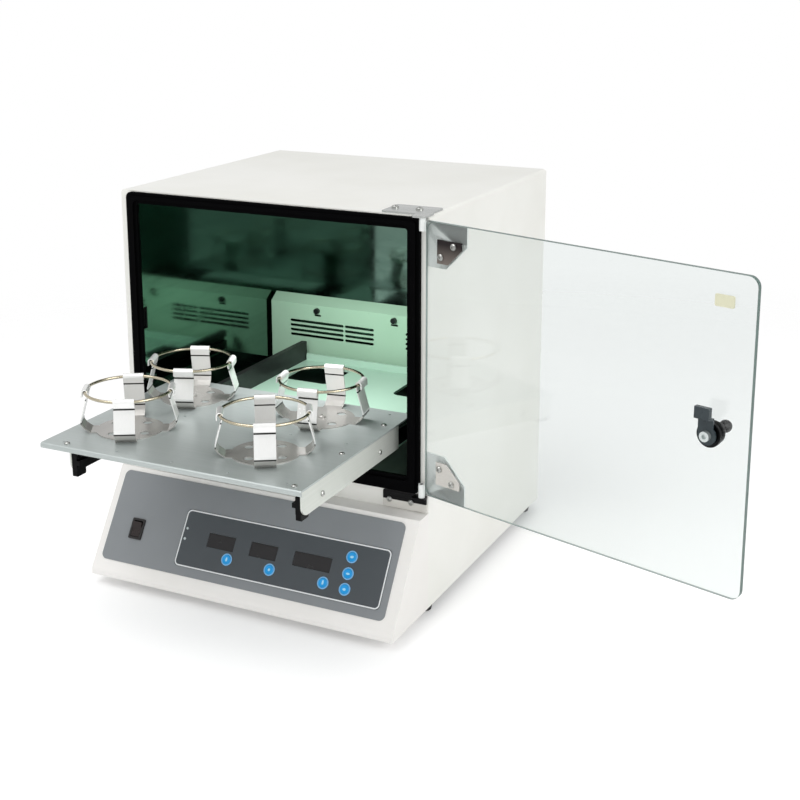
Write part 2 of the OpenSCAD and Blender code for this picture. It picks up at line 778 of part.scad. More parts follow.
// Perforated case of the power supply, on the base pan
module power_supply() {
  z0 = foot_h + sheet;
  wall = 1.2;
  vent_edge = 14;
  across = 4;
  along = 7;
  color("#a8acae") difference() {
    translate([supply_x, supply_y, z0]) cube([supply_w, supply_len, supply_h]);
    translate([supply_x + wall, supply_y + wall, z0 + wall])
      cube([supply_w - 2 * wall, supply_len, supply_h - 2 * wall]);
    for (j = [0 : across], i = [0 : along])
      translate([supply_x + vent_edge + j * (supply_w - 2 * vent_edge) / across,
        supply_y + vent_edge + i * (supply_len - 2 * vent_edge) / along, z0 + supply_h - 2 * wall])
        cylinder(r = 4, h = 3 * wall);
  }
}

// Mains socket in the back panel
module power_inlet() {
  y0 = back_y + sheet;
  w = inlet_w / 2;
  h = inlet_h / 2;
  color("#1b1b1c") difference() {
    union() {
      upright(y0 + 2, 2)
        rrect([inlet_x - w - inlet_flange * 3, inlet_z - h - inlet_flange], [inlet_x + w + inlet_flange * 3, inlet_z + h + inlet_flange], 3);
      upright(y0, 22) translate([inlet_x - w, inlet_z - h]) square([inlet_w, inlet_h]);
    }
    upright(y0 + 3, 17) translate([inlet_x - w + 2, inlet_z - h + 2])
      polygon([[0, 0], [inlet_w - 4, 0], [inlet_w - 4, inlet_h - 8], [inlet_w - 8, inlet_h - 4], [4, inlet_h - 4],
        [0, inlet_h - 8]]);
  }
  color("#c9cccd") for (x = [-7, 0, 7]) upright(y0 - 5.5, 9.5)
    translate([inlet_x + x - 1, inlet_z - (x == 0 ? -1 : 4)]) square([2, 4]);
}

// Hinge plates: one on the roof with an ear over the front, one on the front under the gasket
module hinge_plates() {
  ear_y = hinge_y - barrel_r - 1.5;
  color("#b3b6b6") {
    difference() {
      translate([0, 0, top_z]) linear_extrude(hinge_t) {
        rrect([half_w - hinge_plate_w - 3, 1], [half_w - 3, hinge_plate_d], 3);
        rrect([half_w - 16, ear_y], [half_w - 0.5, 14], 3);
      }
      for (x = hinge_screw_x) translate([x, hinge_screw_y, top_z - 1]) cylinder(r = 1.9, h = 5);
    }
    translate([hinge_x, hinge_y, door_z1 - barrel_h]) cylinder(r = pin_r, h = top_z + hinge_t - door_z1 + barrel_h);
    difference() {
      upright(0, hinge_t) rrect([half_w - hinge_plate_w, ledge_z + 1], [half_w - 2, low_ear_z + hinge_t], 2);
      for (x = low_screw_x) along_y(x, low_screw_z, -5, 1, 1.9);
    }
    translate([0, 0, low_ear_z]) linear_extrude(hinge_t) rrect([half_w - 16, ear_y], [half_w - 0.5, 0], 3);
    translate([hinge_x, hinge_y, low_ear_z]) cylinder(r = pin_r, h = door_z0 + barrel_h - low_ear_z);
  }
}

module cabinet_screws() {
  color("#c4c6c6") {
    for (x = hinge_screw_x) translate([x, hinge_screw_y, top_z + hinge_t]) pan_screw(4, hinge_t);
    for (x = low_screw_x) translate([x, -hinge_t, low_screw_z]) rotate([90, 0, 0]) pan_screw(3.2, hinge_t);
    for (p = back_screws) translate([p.x, back_y + sheet, p.y]) rotate([-90, 0, 0]) pan_screw(3, sheet);
  }
}

// Door
module bracket_outline(edge) {
  polygon([[3 + edge, 0], [bracket_w, 0], [bracket_w, bracket_h * 0.45], [bracket_w * 0.52, bracket_h],
    [3 + edge, bracket_h]]);
}

// Places children on the door's two brackets, heights running inwards from the glass's edge
module both_brackets() {
  translate([0, 0, door_z0]) children();
  translate([0, 0, door_z1]) mirror([0, 0, 1]) children();
}

// Plate drawn along the glass and upwards, from y0 to y1 out of the door
module door_plate(y0, y1) {
  translate([0, y1, 0]) rotate([90, 0, 0]) linear_extrude(y1 - y0) children();
}

module screw_spots() {
  for (p = bracket_spots) translate(p) children();
}

module door_glass() {
  color([0.82, 0.93, 0.89, 0.35]) on_door() difference() {
    door_plate(0, door_t) difference() {
      union() {
        rrect([glass_start, door_z0], [door_w, door_z1], door_r);
        translate([glass_start, door_z0]) square([door_w / 2, door_z1 - door_z0]);
      }
      translate([latch_w, latch_z]) circle(latch_bore + 3);
    }
    both_brackets() door_plate(-1, door_t + 1) screw_spots() circle(2.3);
  }
}

module door_brackets() {
  reach = [low_ear_z + hinge_t + seat_gap - door_z0, door_z1 + seat_gap - top_z];
  color("#a9adad") on_door() {
    both_brackets() difference() {
      door_plate(door_t, door_t + bracket_t) bracket_outline(0);
      door_plate(door_t - 1, door_t + bracket_t + 1) screw_spots() circle(2.3);
    }
    for (i = [0, 1]) translate([0, 0, i == 0 ? door_z0 : door_z1]) mirror([0, 0, i]) difference() {
      union() {
        translate([0, 0, reach[i]]) cylinder(r = barrel_r, h = barrel_h - reach[i]);
        translate([1, 0, 0]) cube([glass_start - 1 - seat_gap, door_t + bracket_t, barrel_h]);
      }
      translate([0, 0, reach[i] - 1]) cylinder(r = pin_r + pin_gap, h = barrel_h - reach[i] + 2);
    }
  }
}

// Clamping pads on the inside of the glass
module bracket_pads() {
  color("#c3c4c2") on_door() both_brackets() difference() {
    door_plate(-pad_t, 0) polygon([[pad_x, pad_low], [bracket_w - 4, pad_low], [bracket_w - 4, pad_low + 8],
      [pad_x + 14, bracket_h - 6], [pad_x, bracket_h - 6]]);
    door_plate(-pad_t - 1, 1) screw_spots() circle(2.3);
  }
}

module bracket_screws() {
  grip = door_t + bracket_t + pad_t;
  color("#cfd1d1") on_door() both_brackets() for (p = bracket_spots) translate([p.x, -pad_t, p.y])
    rotate([90, 0, 0]) {
      pan_screw(3.6, 0.5);
      translate([0, 0, -grip - 2.4]) cylinder(r = 2, h = grip + 2.4 + 1);
      translate([0, 0, -grip - 2.4]) cylinder(r = 3.6, h = 2.4, $fn = 6);
    }
}

module door_pad() {
  color("#d9d3a6") on_door() door_plate(-1.5, 0)
    rrect([door_w - 40, door_z1 - 31], [door_w - 21, door_z1 - 20], 1.5);
}

// Threaded body of the latch, held by a nut inside and a collar outside
module latch_barrel() {
  color("#1a1b1c") on_door() translate([latch_w, 0, latch_z]) rotate([90, 0, 0]) difference() {
    union() {
      cylinder(r = 12, h = 3.5);
      translate([0, 0, -door_t]) cylinder(r = latch_bore + 2.7, h = door_t + 5);
      translate([0, 0, -door_t - 4]) cylinder(r = 11, h = 4);
    }
    translate([0, 0, -door_t - 5]) cylinder(r = latch_bore + pin_gap, h = door_t + 11);
  }
}

// Ball ended handle on the spindle, outside the glass
module latch_handle() {
  color("#1c1c1e") on_door() translate([latch_w, 0, latch_z]) rotate([-90, 0, 0]) {
    translate([0, 0, -5 - seat_gap]) cylinder(r = latch_bore, h = door_t + 9 + 2 * seat_gap);
    translate([0, 0, door_t + 4 + seat_gap]) rotate_extrude()
      polygon([[0, 0], [8.5, 0], [9, 1.5], [8, 6], [5, 9.5], [3, 12], [2.6, 16], [0, 16]]);
    translate([0, 0, door_t + 24]) sphere(6);
  }
}

// Cam with a joggled arm, clamped to the spindle by a socket screw
module latch_cam() {
  y0 = -5 - seat_gap;
  color("#202224") on_door() translate([latch_w, 0, latch_z]) {
    door_plate(y0 - cam_t, y0) {
      circle(9);
      translate([-cam_w / 2, 0]) square([cam_w - 3, 17]);
    }
    translate([-cam_w / 2, y0 - cam_t, 17]) rotate([90, 0, 90])
      linear_extrude(cam_w - 3) polygon([[cam_t, 0], [cam_t, -2], [0, -2], [-cam_step, 0], [-cam_step, cam_reach - 17],
        [-cam_step + cam_tab, cam_reach - 17], [-cam_step + cam_tab, 1]]);
    translate([0, y0 - cam_t, 0]) rotate([90, 0, 0]) difference() {
      cylinder(r = 4.8, h = 4.5);
      translate([0, 0, 2]) cylinder(r = 2.5, h = 3, $fn = 6);
    }
  }
}

// Platform
module platform_plate() {
  bend = plate_t + 0.5;
  inner = bend - plate_t;
  color("#c3c9c4") difference() {
    profile(plate_x0, plate_x1) polygon(concat(
      arc([plate_y0 + bend, plate_z - bend], bend, 180, 90, 8),
      [[plate_y1, plate_z], [plate_y1, plate_under]],
      arc([plate_y0 + bend, plate_z - bend], inner, 90, 180, 4),
      [[plate_y0 + plate_t, plate_z - plate_lip], [plate_y0, plate_z - plate_lip]]));
    for (x = hole_x, y = hole_y) translate([x, y, plate_under - 1]) cylinder(r = 1.6, h = plate_t + 2);
    for (p = plate_screws) translate([p.x, p.y, plate_under - 1]) cylinder(r = 1.7, h = plate_t + 2);
  }
}

// Flange outline in Y and Z with a rounded lower front corner
module flange_side() {
  r = flange_h * 0.4;
  y0 = plate_y0 + plate_t + seat_gap;
  y1 = y0 + flange_len;
  difference() {
    union() {
      translate([y0, flange_z + r]) square([y1 - y0, flange_h - r]);
      translate([y0 + r, flange_z]) square([y1 - y0 - r, flange_h]);
      translate([y0 + r, flange_z + r]) circle(r);
    }
    for (y = flange_screw_y) translate([plate_y0 + y, tongue_z]) circle(1.7);
  }
}

module platform_flanges() {
  y0 = plate_y0 + plate_t + seat_gap;
  color("#d3d8d3") {
    profile(plate_x1 - flange_t, plate_x1) flange_side();
    profile(flange_left_x, flange_left_x + flange_t) flange_side();
    for (x = [plate_x1 - flange_leaf, flange_left_x - flange_leaf + flange_t])
      difference() {
        translate([x, y0, plate_under - flange_t]) cube([flange_leaf, flange_len, flange_t]);
        for (p = plate_screws) translate([p.x, p.y, plate_under - flange_t - 1]) cylinder(r = 1.7, h = flange_t + 2);
      }
  }
}

// Slide bars with their tongues towards the rails and a stop under each front end
module slide_bars() {
  y0 = plate_y0 + plate_t + 1;
  color("#1d1e1f") for (side = [0, 1]) {
    x0 = side == 0 ? flange_left_x + flange_t : bar_right_x;
    tongue_x = side == 0 ? x0 + bar_w : x0 - tongue_w;
    stop_x = side == 0 ? x0 : x0 + slide_gap;
    difference() {
      union() {
        profile(x0, x0 + bar_w) translate([y0, bar_z0]) square([bar_back - y0, bar_z1 - bar_z0]);
        profile(tongue_x - eps, tongue_x + tongue_w + eps)
          translate([y0, tongue_z - tongue_h / 2]) square([bar_back - y0, tongue_h]);
        profile(stop_x, stop_x + bar_w - slide_gap) rrect([y0, bar_z0 - 6.5], [y0 + 15, bar_z0 + 4], 1.5);
      }
      for (y = flange_screw_y) translate([side == 0 ? x0 - 1 : x0 + bar_w - 4, plate_y0 + y, tongue_z])
        rotate([0, 90, 0]) cylinder(r = 1.45, h = 5);
    }
  }
}

module platform_screws() {
  color("#b9bdbd") {
    for (p = plate_screws) translate([p.x, p.y, plate_z]) pan_screw(3, plate_t + flange_t);
    for (y = flange_screw_y) {
      translate([plate_x1, plate_y0 + y, tongue_z]) rotate([0, 90, 0]) pan_screw(3, flange_t + 3);
      translate([flange_left_x, plate_y0 + y, tongue_z]) rotate([0, -90, 0]) pan_screw(3, flange_t + 3);
    }
  }
}

// Carriage on the crank pin: a tray with folded ends and the two slide rails
module carriage() {
  x0 = flange_left_x + flange_t + bar_w + slide_gap;
  x1 = bar_right_x - slide_gap;
  color("#8f9594") difference() {
    union() {
      translate([0, 0, tray_z]) linear_extrude(tray_t) difference() {
        rrect([x0, rail_front], [x1, rail_back], 4);
        for (x = [x0 + 20, x1 - 20 - tray_cut], y = [rail_front + 20, rail_back - 20 - tray_cut])
          rrect([x, y], [x + tray_cut, y + tray_cut], 10);
      }
      for (y = [rail_front, rail_back - tray_t]) translate([x0 + rail_w + 1, y, tray_z])
        cube([x1 - x0 - 2 * rail_w - 2, tray_t, 12]);
      translate([hub_x, hub_y, crank_z + crank_t + seat_gap]) cylinder(r = 15, h = tray_z - crank_z - crank_t);
    }
    translate([hub_x, hub_y, crank_z]) cylinder(r = crank_pin_r + pin_gap, h = 40);
  }
}

// Grooved rails; each takes the tongue of a slide bar
module carriage_rails() {
  left = flange_left_x + flange_t + bar_w + slide_gap;
  right = bar_right_x - slide_gap;
  h = tongue_h / 2 + slide_gap;
  color("#2a2c2d") for (side = [0, 1]) {
    x0 = side == 0 ? left : right - rail_w;
    mouth = side == 0 ? x0 - 1 : x0 + rail_w - tongue_w;
    difference() {
      profile(x0, x0 + rail_w) translate([rail_front, rail_z0]) square([rail_back - rail_front, rail_z1 - rail_z0]);
      profile(mouth, mouth + tongue_w + 1) translate([rail_front - 1, tongue_z - h])
        square([bar_back + travel + 1 - rail_front, 2 * h]);
    }
  }
}

// Clamp arm as a bent strip: radius out from the clamp's axis, height above the plate.
// It bulges over the foot, leans in and curls over the wire ring.
function arm_path() = concat(
  [[clamp_base_r - 8, arm_t / 2], [clamp_base_r + 5, arm_t / 2], [clamp_r - 3.5, 5.5], [clamp_r - arm_t / 2, 10],
    [clamp_r - arm_t / 2, 14]],
  arc([ring_r - curl_sag / 2, ring_h - 0.2], curl_r, 190, 0, 8),
  [[ring_r - curl_sag / 2 + curl_r, ring_h - 5]]);

// Corner of a strip's edge, moved out by d along the bisector at point i
function strip_edge(p, i, d) =
  let (n = len(p) - 1, u = i > 0 ? p[i] - p[i - 1] : p[1] - p[0], v = i < n ? p[i + 1] - p[i] : p[n] - p[n - 1],
    a = u / norm(u), b = v / norm(v), m = [-a.y - b.y, a.x + b.x], k = m * m / 2)
  p[i] + m * d / k;

function strip(p, t) = concat([for (i = [0 : len(p) - 1]) strip_edge(p, i, t / 2)],
  [for (i = [len(p) - 1 : -1 : 0]) strip_edge(p, i, -t / 2)]);

module on_clamp(i) {
  at = clamp_at[i];
  translate([clamp_x[at.x], clamp_y[at.y], plate_z]) rotate([0, 0, clamp_turn[i]]) children();
}

module clamp(i) {
  color("#d2d6d6") on_clamp(i) {
    difference() {
      cylinder(r = clamp_base_r, h = arm_t);
      translate([0, 0, -1]) cylinder(r = 2, h = 4);
      for (a = [0 : 90 : 270]) rotate([0, 0, a + 45]) translate([clamp_base_r - 12, 0, -1]) cylinder(r = 5, h = 4);
    }
    for (a = [0 : 90 : 270]) rotate([0, 0, a]) translate([-arm_w / 2, 0, 0]) rotate([90, 0, 90])
      linear_extrude(arm_w) polygon(strip(arm_path(), arm_t));
    translate([0, 0, arm_t]) pan_screw(4, arm_t);
  }
}

module clamp_rings() {
  color("#c9bfa4") for (i = [0 : 3]) on_clamp(i) translate([0, 0, ring_h])
    rotate_extrude() translate([ring_r, 0]) circle(ring_wire);
}

// Drive
module bearing_post() {
  z0 = foot_h + sheet;
  z1 = pulley_z - 3;
  color("#6f7678") translate([hub_x, axis_y, 0]) difference() {
    union() {
      rotate_extrude() polygon([[0, z0], [46, z0], [46, z0 + 6], [28, z0 + 8], [22, z0 + 16], [20, z1 - 18],
        [24, z1 - 14], [24, z1], [0, z1]]);
      for (a = [45 : 90 : 315]) rotate([0, 0, a]) translate([18, -2.5, z0 + 4])
        rotate([90, 0, 0]) mirror([0, 0, 1]) linear_extrude(5) polygon([[0, 0], [25, 0], [4, 40], [0, 40]]);
    }
    translate([0, 0, z0 + 8]) cylinder(r = spindle_r + pin_gap, h = z1);
    for (a = [0 : 90 : 270]) rotate([0, 0, a]) translate([38, 0, z0 - 1]) cylinder(r = 2.5, h = 10);
  }
}

module crank_spindle() {
  z0 = foot_h + sheet + 10;
  color("#b9bec0") {
    translate([hub_x, axis_y, z0]) cylinder(r = spindle_r, h = crank_z - z0 + eps);
    translate([hub_x, axis_y, crank_z]) cylinder(r = orbit_r + crank_pin_r + 4, h = crank_t);
    translate([hub_x, hub_y, crank_z]) cylinder(r = crank_pin_r, h = tray_z + tray_t - crank_z);
  }
}

// Belt pulley between two rims, with spokes cut out
module belt_pulley(r, bore) {
  difference() {
    rotate_extrude() polygon([[bore, 0], [r + 3, 0], [r + 3, 1], [r, 1.5], [r, pulley_h - 1.5], [r + 3, pulley_h - 1],
      [r + 3, pulley_h], [bore, pulley_h]]);
    if (r > 30) for (a = [0 : 60 : 300]) rotate([0, 0, a]) translate([r * 0.6, 0, -1]) cylinder(r = r * 0.2, h = pulley_h + 2);
  }
}

module crank_pulley() {
  color("#9da2a4") translate([hub_x, axis_y, pulley_z]) belt_pulley(pulley_r, spindle_r);
}

// Weight opposite the crank pin, on the pulley
module counterweight() {
  color("#54595b") translate([hub_x, axis_y, pulley_z + pulley_h]) linear_extrude(10) difference() {
    circle(pulley_r - 2);
    circle(spindle_r);
    translate([-pulley_r, -4]) square(2 * pulley_r);
  }
}

module motor_pulley() {
  color("#9da2a4") translate([motor_x, axis_y, pulley_z]) {
    belt_pulley(motor_pulley_r, shaft_r + 1);
    translate([0, 0, -26]) cylinder(r = shaft_r + 1, h = pulley_h + 26);
  }
}

module drive_motor() {
  z0 = foot_h + sheet;
  z1 = pulley_z - 8;
  color("#34383b") translate([motor_x, axis_y, 0]) difference() {
    union() {
      translate([0, 0, z0 + 3]) cylinder(r = motor_r, h = z1 - z0 - 3);
      translate([-motor_r - 4, -motor_r - 4, z0]) linear_extrude(5)
        rrect([0, 0], [2 * motor_r + 8, 2 * motor_r + 8], 8);
      translate([0, 0, z1 - eps]) cylinder(r = 12, h = 4);
    }
    translate([0, 0, pulley_z - 27]) cylinder(r = shaft_r + 1 + pin_gap, h = 40);
    for (a = [0 : 15 : 345]) rotate([0, 0, a]) translate([motor_r - 1.5, -1.2, z0 + 14])
      cube([4, 2.4, z1 - z0 - 28]);
    for (x = mirror_pair, y = mirror_pair) translate([x * (motor_r - 1), y * (motor_r - 1), z0 - 1])
      cylinder(r = 2.5, h = 8);
  }
}

// Outline of the belt's inside, grown outwards
module belt_loop(grow) {
  hull() {
    circle(motor_pulley_r + belt_gap + grow, $fn = 64);
    translate([belt_reach, 0]) circle(pulley_r + belt_gap + grow, $fn = 96);
  }
}

module drive_belt() {
  color("#202122") translate([motor_x, axis_y, pulley_z + (pulley_h - belt_h) / 2]) linear_extrude(belt_h)
    difference() {
      belt_loop(belt_t);
      belt_loop(0);
    }
}

module shaft_seal() {
  color("#232323") translate([hub_x, axis_y, floor_z]) rotate_extrude()
    polygon([[spindle_r + pin_gap, -liner_t - 2], [spindle_r + 3.6, -liner_t - 2], [spindle_r + 3.6, 0], [spindle_r + 9, 0],
      [spindle_r + 8, 2], [spindle_r + 3, 3.5], [spindle_r + pin_gap, 3.5]]);
}

// Assembly
placed() cabinet_shell();
placed() back_panel();
placed() base_pan();
placed() feet();
placed() insulation();
placed() chamber_liner();
placed() door_gasket();
placed() plenum_cover();
placed() plenum_knobs();
placed() fan_housing();
placed() fan_wheel();
placed() fan_motor();
placed() heater();
placed() temp_probe();
placed() hinge_plates();
placed() cabinet_screws();
placed() console_housing();
placed() fascia();
placed() key_panel();
placed() button_rings();
for (i = [0 : len(buttons) - 1]) {
  placed() button(i);
}
placed() displays();
placed() indicator_lamps();
placed() switch_bezel();
placed() power_rocker();
placed() control_board();
placed() power_supply();
placed() power_inlet();
placed() drive_motor();
placed() motor_pulley();
placed() drive_belt();
placed() bearing_post();
placed() crank_spindle();
placed() crank_pulley();
placed() counterweight();
placed() shaft_seal();
placed() carriage();
placed() carriage_rails();
placed() platform_plate();
placed() platform_flanges();
placed() slide_bars();
placed() platform_screws();
for (i = [0 : len(clamp_at) - 1]) {
  placed() clamp(i);
}
placed() clamp_rings();
placed() door_glass();
placed() door_brackets();
placed() bracket_pads();
placed() bracket_screws();
placed() door_pad();
placed() latch_barrel();
placed() latch_handle();
placed() latch_cam();
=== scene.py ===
import math

import bmesh
import bpy
import numpy as np
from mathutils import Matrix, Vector


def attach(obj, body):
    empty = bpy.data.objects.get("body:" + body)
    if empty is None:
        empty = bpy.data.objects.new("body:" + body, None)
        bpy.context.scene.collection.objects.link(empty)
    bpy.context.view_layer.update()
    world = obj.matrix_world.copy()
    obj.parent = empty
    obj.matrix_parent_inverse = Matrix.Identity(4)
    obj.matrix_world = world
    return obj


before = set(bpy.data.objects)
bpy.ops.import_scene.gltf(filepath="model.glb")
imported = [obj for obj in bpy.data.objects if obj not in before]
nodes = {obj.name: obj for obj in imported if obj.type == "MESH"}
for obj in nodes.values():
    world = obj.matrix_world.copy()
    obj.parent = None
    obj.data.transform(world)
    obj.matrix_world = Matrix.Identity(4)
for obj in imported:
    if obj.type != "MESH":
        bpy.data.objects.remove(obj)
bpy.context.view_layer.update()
bpy.context.scene.view_settings.view_transform = "Standard"
mm = 0.001
print("frame loaded:", len(nodes), "nodes")


# Small helpers for shader trees.
def feed(tree, socket, value):
    # links another socket to this one, or sets it to a plain value
    if isinstance(value, bpy.types.NodeSocket):
        tree.links.new(value, socket)
    else:
        socket.default_value = value


def node(tree, kind, settings=None, **inputs):
    # makes a node; settings are its properties, inputs are values or sockets by name, or by number as i0, i1
    made = tree.nodes.new(kind)
    for key, value in (settings or {}).items():
        setattr(made, key, value)
    for key, value in inputs.items():
        numbered = key[0] == "i" and key[1:].isdigit()
        feed(tree, made.inputs[int(key[1:]) if numbered else key], value)
    return made


def mathNode(tree, operation, a, b=0.0, clamp=False):
    return node(tree, "ShaderNodeMath", {"operation": operation, "use_clamp": clamp}, i0=a, i1=b).outputs[0]


def vectorNode(tree, operation, a, b, output=0):
    return node(tree, "ShaderNodeVectorMath", {"operation": operation}, i0=a, i1=b).outputs[output]


def lengthOf(tree, vector):
    return node(tree, "ShaderNodeVectorMath", {"operation": "LENGTH"}, i0=vector).outputs["Value"]


def mixColour(tree, factor, a, b):
    return node(tree, "ShaderNodeMix", {"data_type": "RGBA"}, i0=factor, i6=a, i7=b).outputs[2]


def spread(tree, value, low, high, toLow, toHigh):
    # the stretch from low to high becomes the one from toLow to toHigh, and values beyond it stay at its ends
    return node(tree, "ShaderNodeMapRange", {"clamp": True}, i0=value, i1=low, i2=high, i3=toLow,
                i4=toHigh).outputs[0]


def noise(tree, coordinates, scale, detail=2.0, roughness=0.5):
    return node(tree, "ShaderNodeTexNoise", Vector=coordinates, Scale=scale, Detail=detail,
                Roughness=roughness).outputs["Fac"]


def ownPlace(tree):
    # a node's own coordinates: the frame's at rest, and they stay with the piece when it moves
    return node(tree, "ShaderNodeTexCoord").outputs["Object"]


def ownNormal(tree):
    return node(tree, "ShaderNodeTexCoord").outputs["Normal"]


def upwardPart(tree, vector):
    return node(tree, "ShaderNodeSeparateXYZ", Vector=vector).outputs["Z"]


# Shader groups: each puts out only values that change over the surface.
groupResults = [("Colour", "NodeSocketColor"), ("Roughness", "NodeSocketFloat"), ("Height", "NodeSocketFloat")]


def newGroup(name, inputs):
    group = bpy.data.node_groups.new(name, "ShaderNodeTree")
    for label, kind, value in inputs:
        socket = group.interface.new_socket(label, in_out="INPUT", socket_type=kind)
        socket.default_value = value
    for label, kind in groupResults:
        group.interface.new_socket(label, in_out="OUTPUT", socket_type=kind)
    return group, group.nodes.new("NodeGroupInput").outputs, group.nodes.new("NodeGroupOutput").inputs


def powderGroup():
    # baked powder paint: a fine orange peel, a slow drift of tone, and a little more gloss in patches
    group, given, result = newGroup("powderCoat", [
        ("Paint", "NodeSocketColor", (0.8, 0.8, 0.78, 1)), ("Drift", "NodeSocketColor", (0.76, 0.76, 0.74, 1)),
        ("Peel per metre", "NodeSocketFloat", 900.0), ("Gloss", "NodeSocketFloat", 0.34)])
    place = ownPlace(group)
    slow = noise(group, place, 7.0, 3.0)
    peel = noise(group, place, given["Peel per metre"])
    dust = noise(group, place, 2600.0, 1.0)
    aged = spread(group, slow, 0.35, 0.65, 0.0, 1.0)
    colour = mixColour(group, aged, given["Paint"], given["Drift"])
    speck = spread(group, dust, 0.68, 0.76, 0.0, 0.25)
    colour = mixColour(group, speck, colour, given["Drift"])
    change = spread(group, slow, 0.3, 0.7, -0.05, 0.06)
    feed(group, result["Colour"], colour)
    feed(group, result["Roughness"], mathNode(group, "ADD", given["Gloss"], change))
    feed(group, result["Height"], peel)
    return group


def brushedGroup():
    # metal brushed one way: long streaks from noise squeezed across the brushing, and faint handling marks
    group, given, result = newGroup("brushedMetal", [
        ("Metal", "NodeSocketColor", (0.6, 0.62, 0.6, 1)), ("Streak", "NodeSocketColor", (0.5, 0.52, 0.5, 1)),
        ("Squeeze", "NodeSocketVector", (4.0, 900.0, 900.0)), ("Gloss", "NodeSocketFloat", 0.3),
        ("Unevenness", "NodeSocketFloat", 1.0)])
    place = ownPlace(group)
    squeezed = vectorNode(group, "MULTIPLY", place, given["Squeeze"])
    streaks = noise(group, squeezed, 1.0, 4.0, 0.65)
    marks = noise(group, place, 16.0, 5.0, 0.6)
    colour = mixColour(group, spread(group, streaks, 0.35, 0.65, 0.0, 1.0), given["Metal"], given["Streak"])
    colour = mixColour(group, spread(group, marks, 0.5, 0.75, 0.0, 0.5), colour, given["Streak"])
    change = mathNode(group, "ADD", spread(group, streaks, 0.3, 0.7, -0.07, 0.07),
                      spread(group, marks, 0.4, 0.7, -0.03, 0.08))
    change = mathNode(group, "MULTIPLY", change, given["Unevenness"])
    feed(group, result["Colour"], colour)
    feed(group, result["Roughness"], mathNode(group, "ADD", given["Gloss"], change, clamp=True))
    feed(group, result["Height"], streaks)
    return group


def polishedGroup():
    # polished sheet: it waves a little as thin sheet does, with wipe marks that dull it
    group, given, result = newGroup("polishedSheet", [
        ("Metal", "NodeSocketColor", (0.5, 0.56, 0.53, 1)), ("Haze", "NodeSocketColor", (0.4, 0.46, 0.43, 1)),
        ("Waves per metre", "NodeSocketFloat", 9.0), ("Gloss", "NodeSocketFloat", 0.06)])
    place = ownPlace(group)
    waves = noise(group, place, given["Waves per metre"], 1.0)
    wiped = vectorNode(group, "MULTIPLY", place, (30.0, 8.0, 70.0))
    wipes = noise(group, wiped, 1.0, 5.0, 0.7)
    haze = spread(group, wipes, 0.45, 0.75, 0.0, 1.0)
    dull = mathNode(group, "MULTIPLY", haze, 0.08)
    feed(group, result["Colour"], mixColour(group, haze, given["Metal"], given["Haze"]))
    feed(group, result["Roughness"], mathNode(group, "ADD", given["Gloss"], dull))
    feed(group, result["Height"], waves)
    return group


def mouldedGroup():
    # moulded plastic or rubber: a fine spark texture and a bloom of paler dust on what faces up
    group, given, result = newGroup("mouldedSkin", [
        ("Body", "NodeSocketColor", (0.02, 0.02, 0.02, 1)), ("Bloom", "NodeSocketColor", (0.06, 0.06, 0.06, 1)),
        ("Grain per metre", "NodeSocketFloat", 1800.0), ("Gloss", "NodeSocketFloat", 0.45)])
    place = ownPlace(group)
    grain = noise(group, place, given["Grain per metre"])
    patches = noise(group, place, 45.0, 4.0, 0.6)
    upward = upwardPart(group, ownNormal(group))
    dust = mathNode(group, "MULTIPLY", spread(group, upward, 0.2, 1.0, 0.0, 0.6),
                    spread(group, patches, 0.4, 0.65, 0.2, 1.0))
    change = spread(group, patches, 0.3, 0.7, -0.05, 0.1)
    feed(group, result["Colour"], mixColour(group, dust, given["Body"], given["Bloom"]))
    feed(group, result["Roughness"], mathNode(group, "ADD", given["Gloss"], change))
    feed(group, result["Height"], grain)
    return group


effects = {"powder": powderGroup(), "brushed": brushedGroup(), "polished": polishedGroup(),
           "moulded": mouldedGroup()}


def tone(red, green, blue):
    # a colour as seen on screen, 0 to 255, made linear
    def linear(value):
        value /= 255.0
        return value / 12.92 if value <= 0.04045 else ((value + 0.055) / 1.055) ** 2.4
    return (linear(red), linear(green), linear(blue), 1.0)


def finishOf(name, effect, inputs, bump, bumpDepth, **shader):
    # one material: an effect's colour, roughness and height on a Principled shader with its own constants
    made = bpy.data.materials.new(name)
    made.use_nodes = True
    tree = made.node_tree
    surface = tree.nodes["Principled BSDF"]
    look = tree.nodes.new("ShaderNodeGroup")
    look.node_tree = effects[effect]
    for key, value in inputs.items():
        look.inputs[key].default_value = value
    feed(tree, surface.inputs["Base Color"], look.outputs["Colour"])
    feed(tree, surface.inputs["Roughness"], look.outputs["Roughness"])
    if bump:
        relief = node(tree, "ShaderNodeBump", Strength=bump, Distance=bumpDepth, Height=look.outputs["Height"])
        feed(tree, surface.inputs["Normal"], relief.outputs["Normal"])
    for key, value in shader.items():
        surface.inputs[key.replace("_", " ")].default_value = value
    return made


def powder(name, paint, drift, gloss=0.34, peel=900.0, bump=0.12):
    return finishOf(name, "powder", {"Paint": tone(*paint), "Drift": tone(*drift), "Gloss": gloss,
                                     "Peel per metre": peel}, bump, 0.3 * mm, Coat_Weight=0.08)


def brushed(name, metal, streak, squeeze, gloss=0.3, bump=0.06, uneven=1.0, shine=1.0):
    return finishOf(name, "brushed", {"Metal": tone(*metal), "Streak": tone(*streak), "Squeeze": squeeze,
                                      "Gloss": gloss, "Unevenness": uneven}, bump, 0.05 * mm, Metallic=shine)


def polished(name, metal, haze, gloss=0.06, waves=9.0, bump=0.1):
    return finishOf(name, "polished", {"Metal": tone(*metal), "Haze": tone(*haze), "Gloss": gloss,
                                       "Waves per metre": waves}, bump, 0.6 * mm, Metallic=1.0)


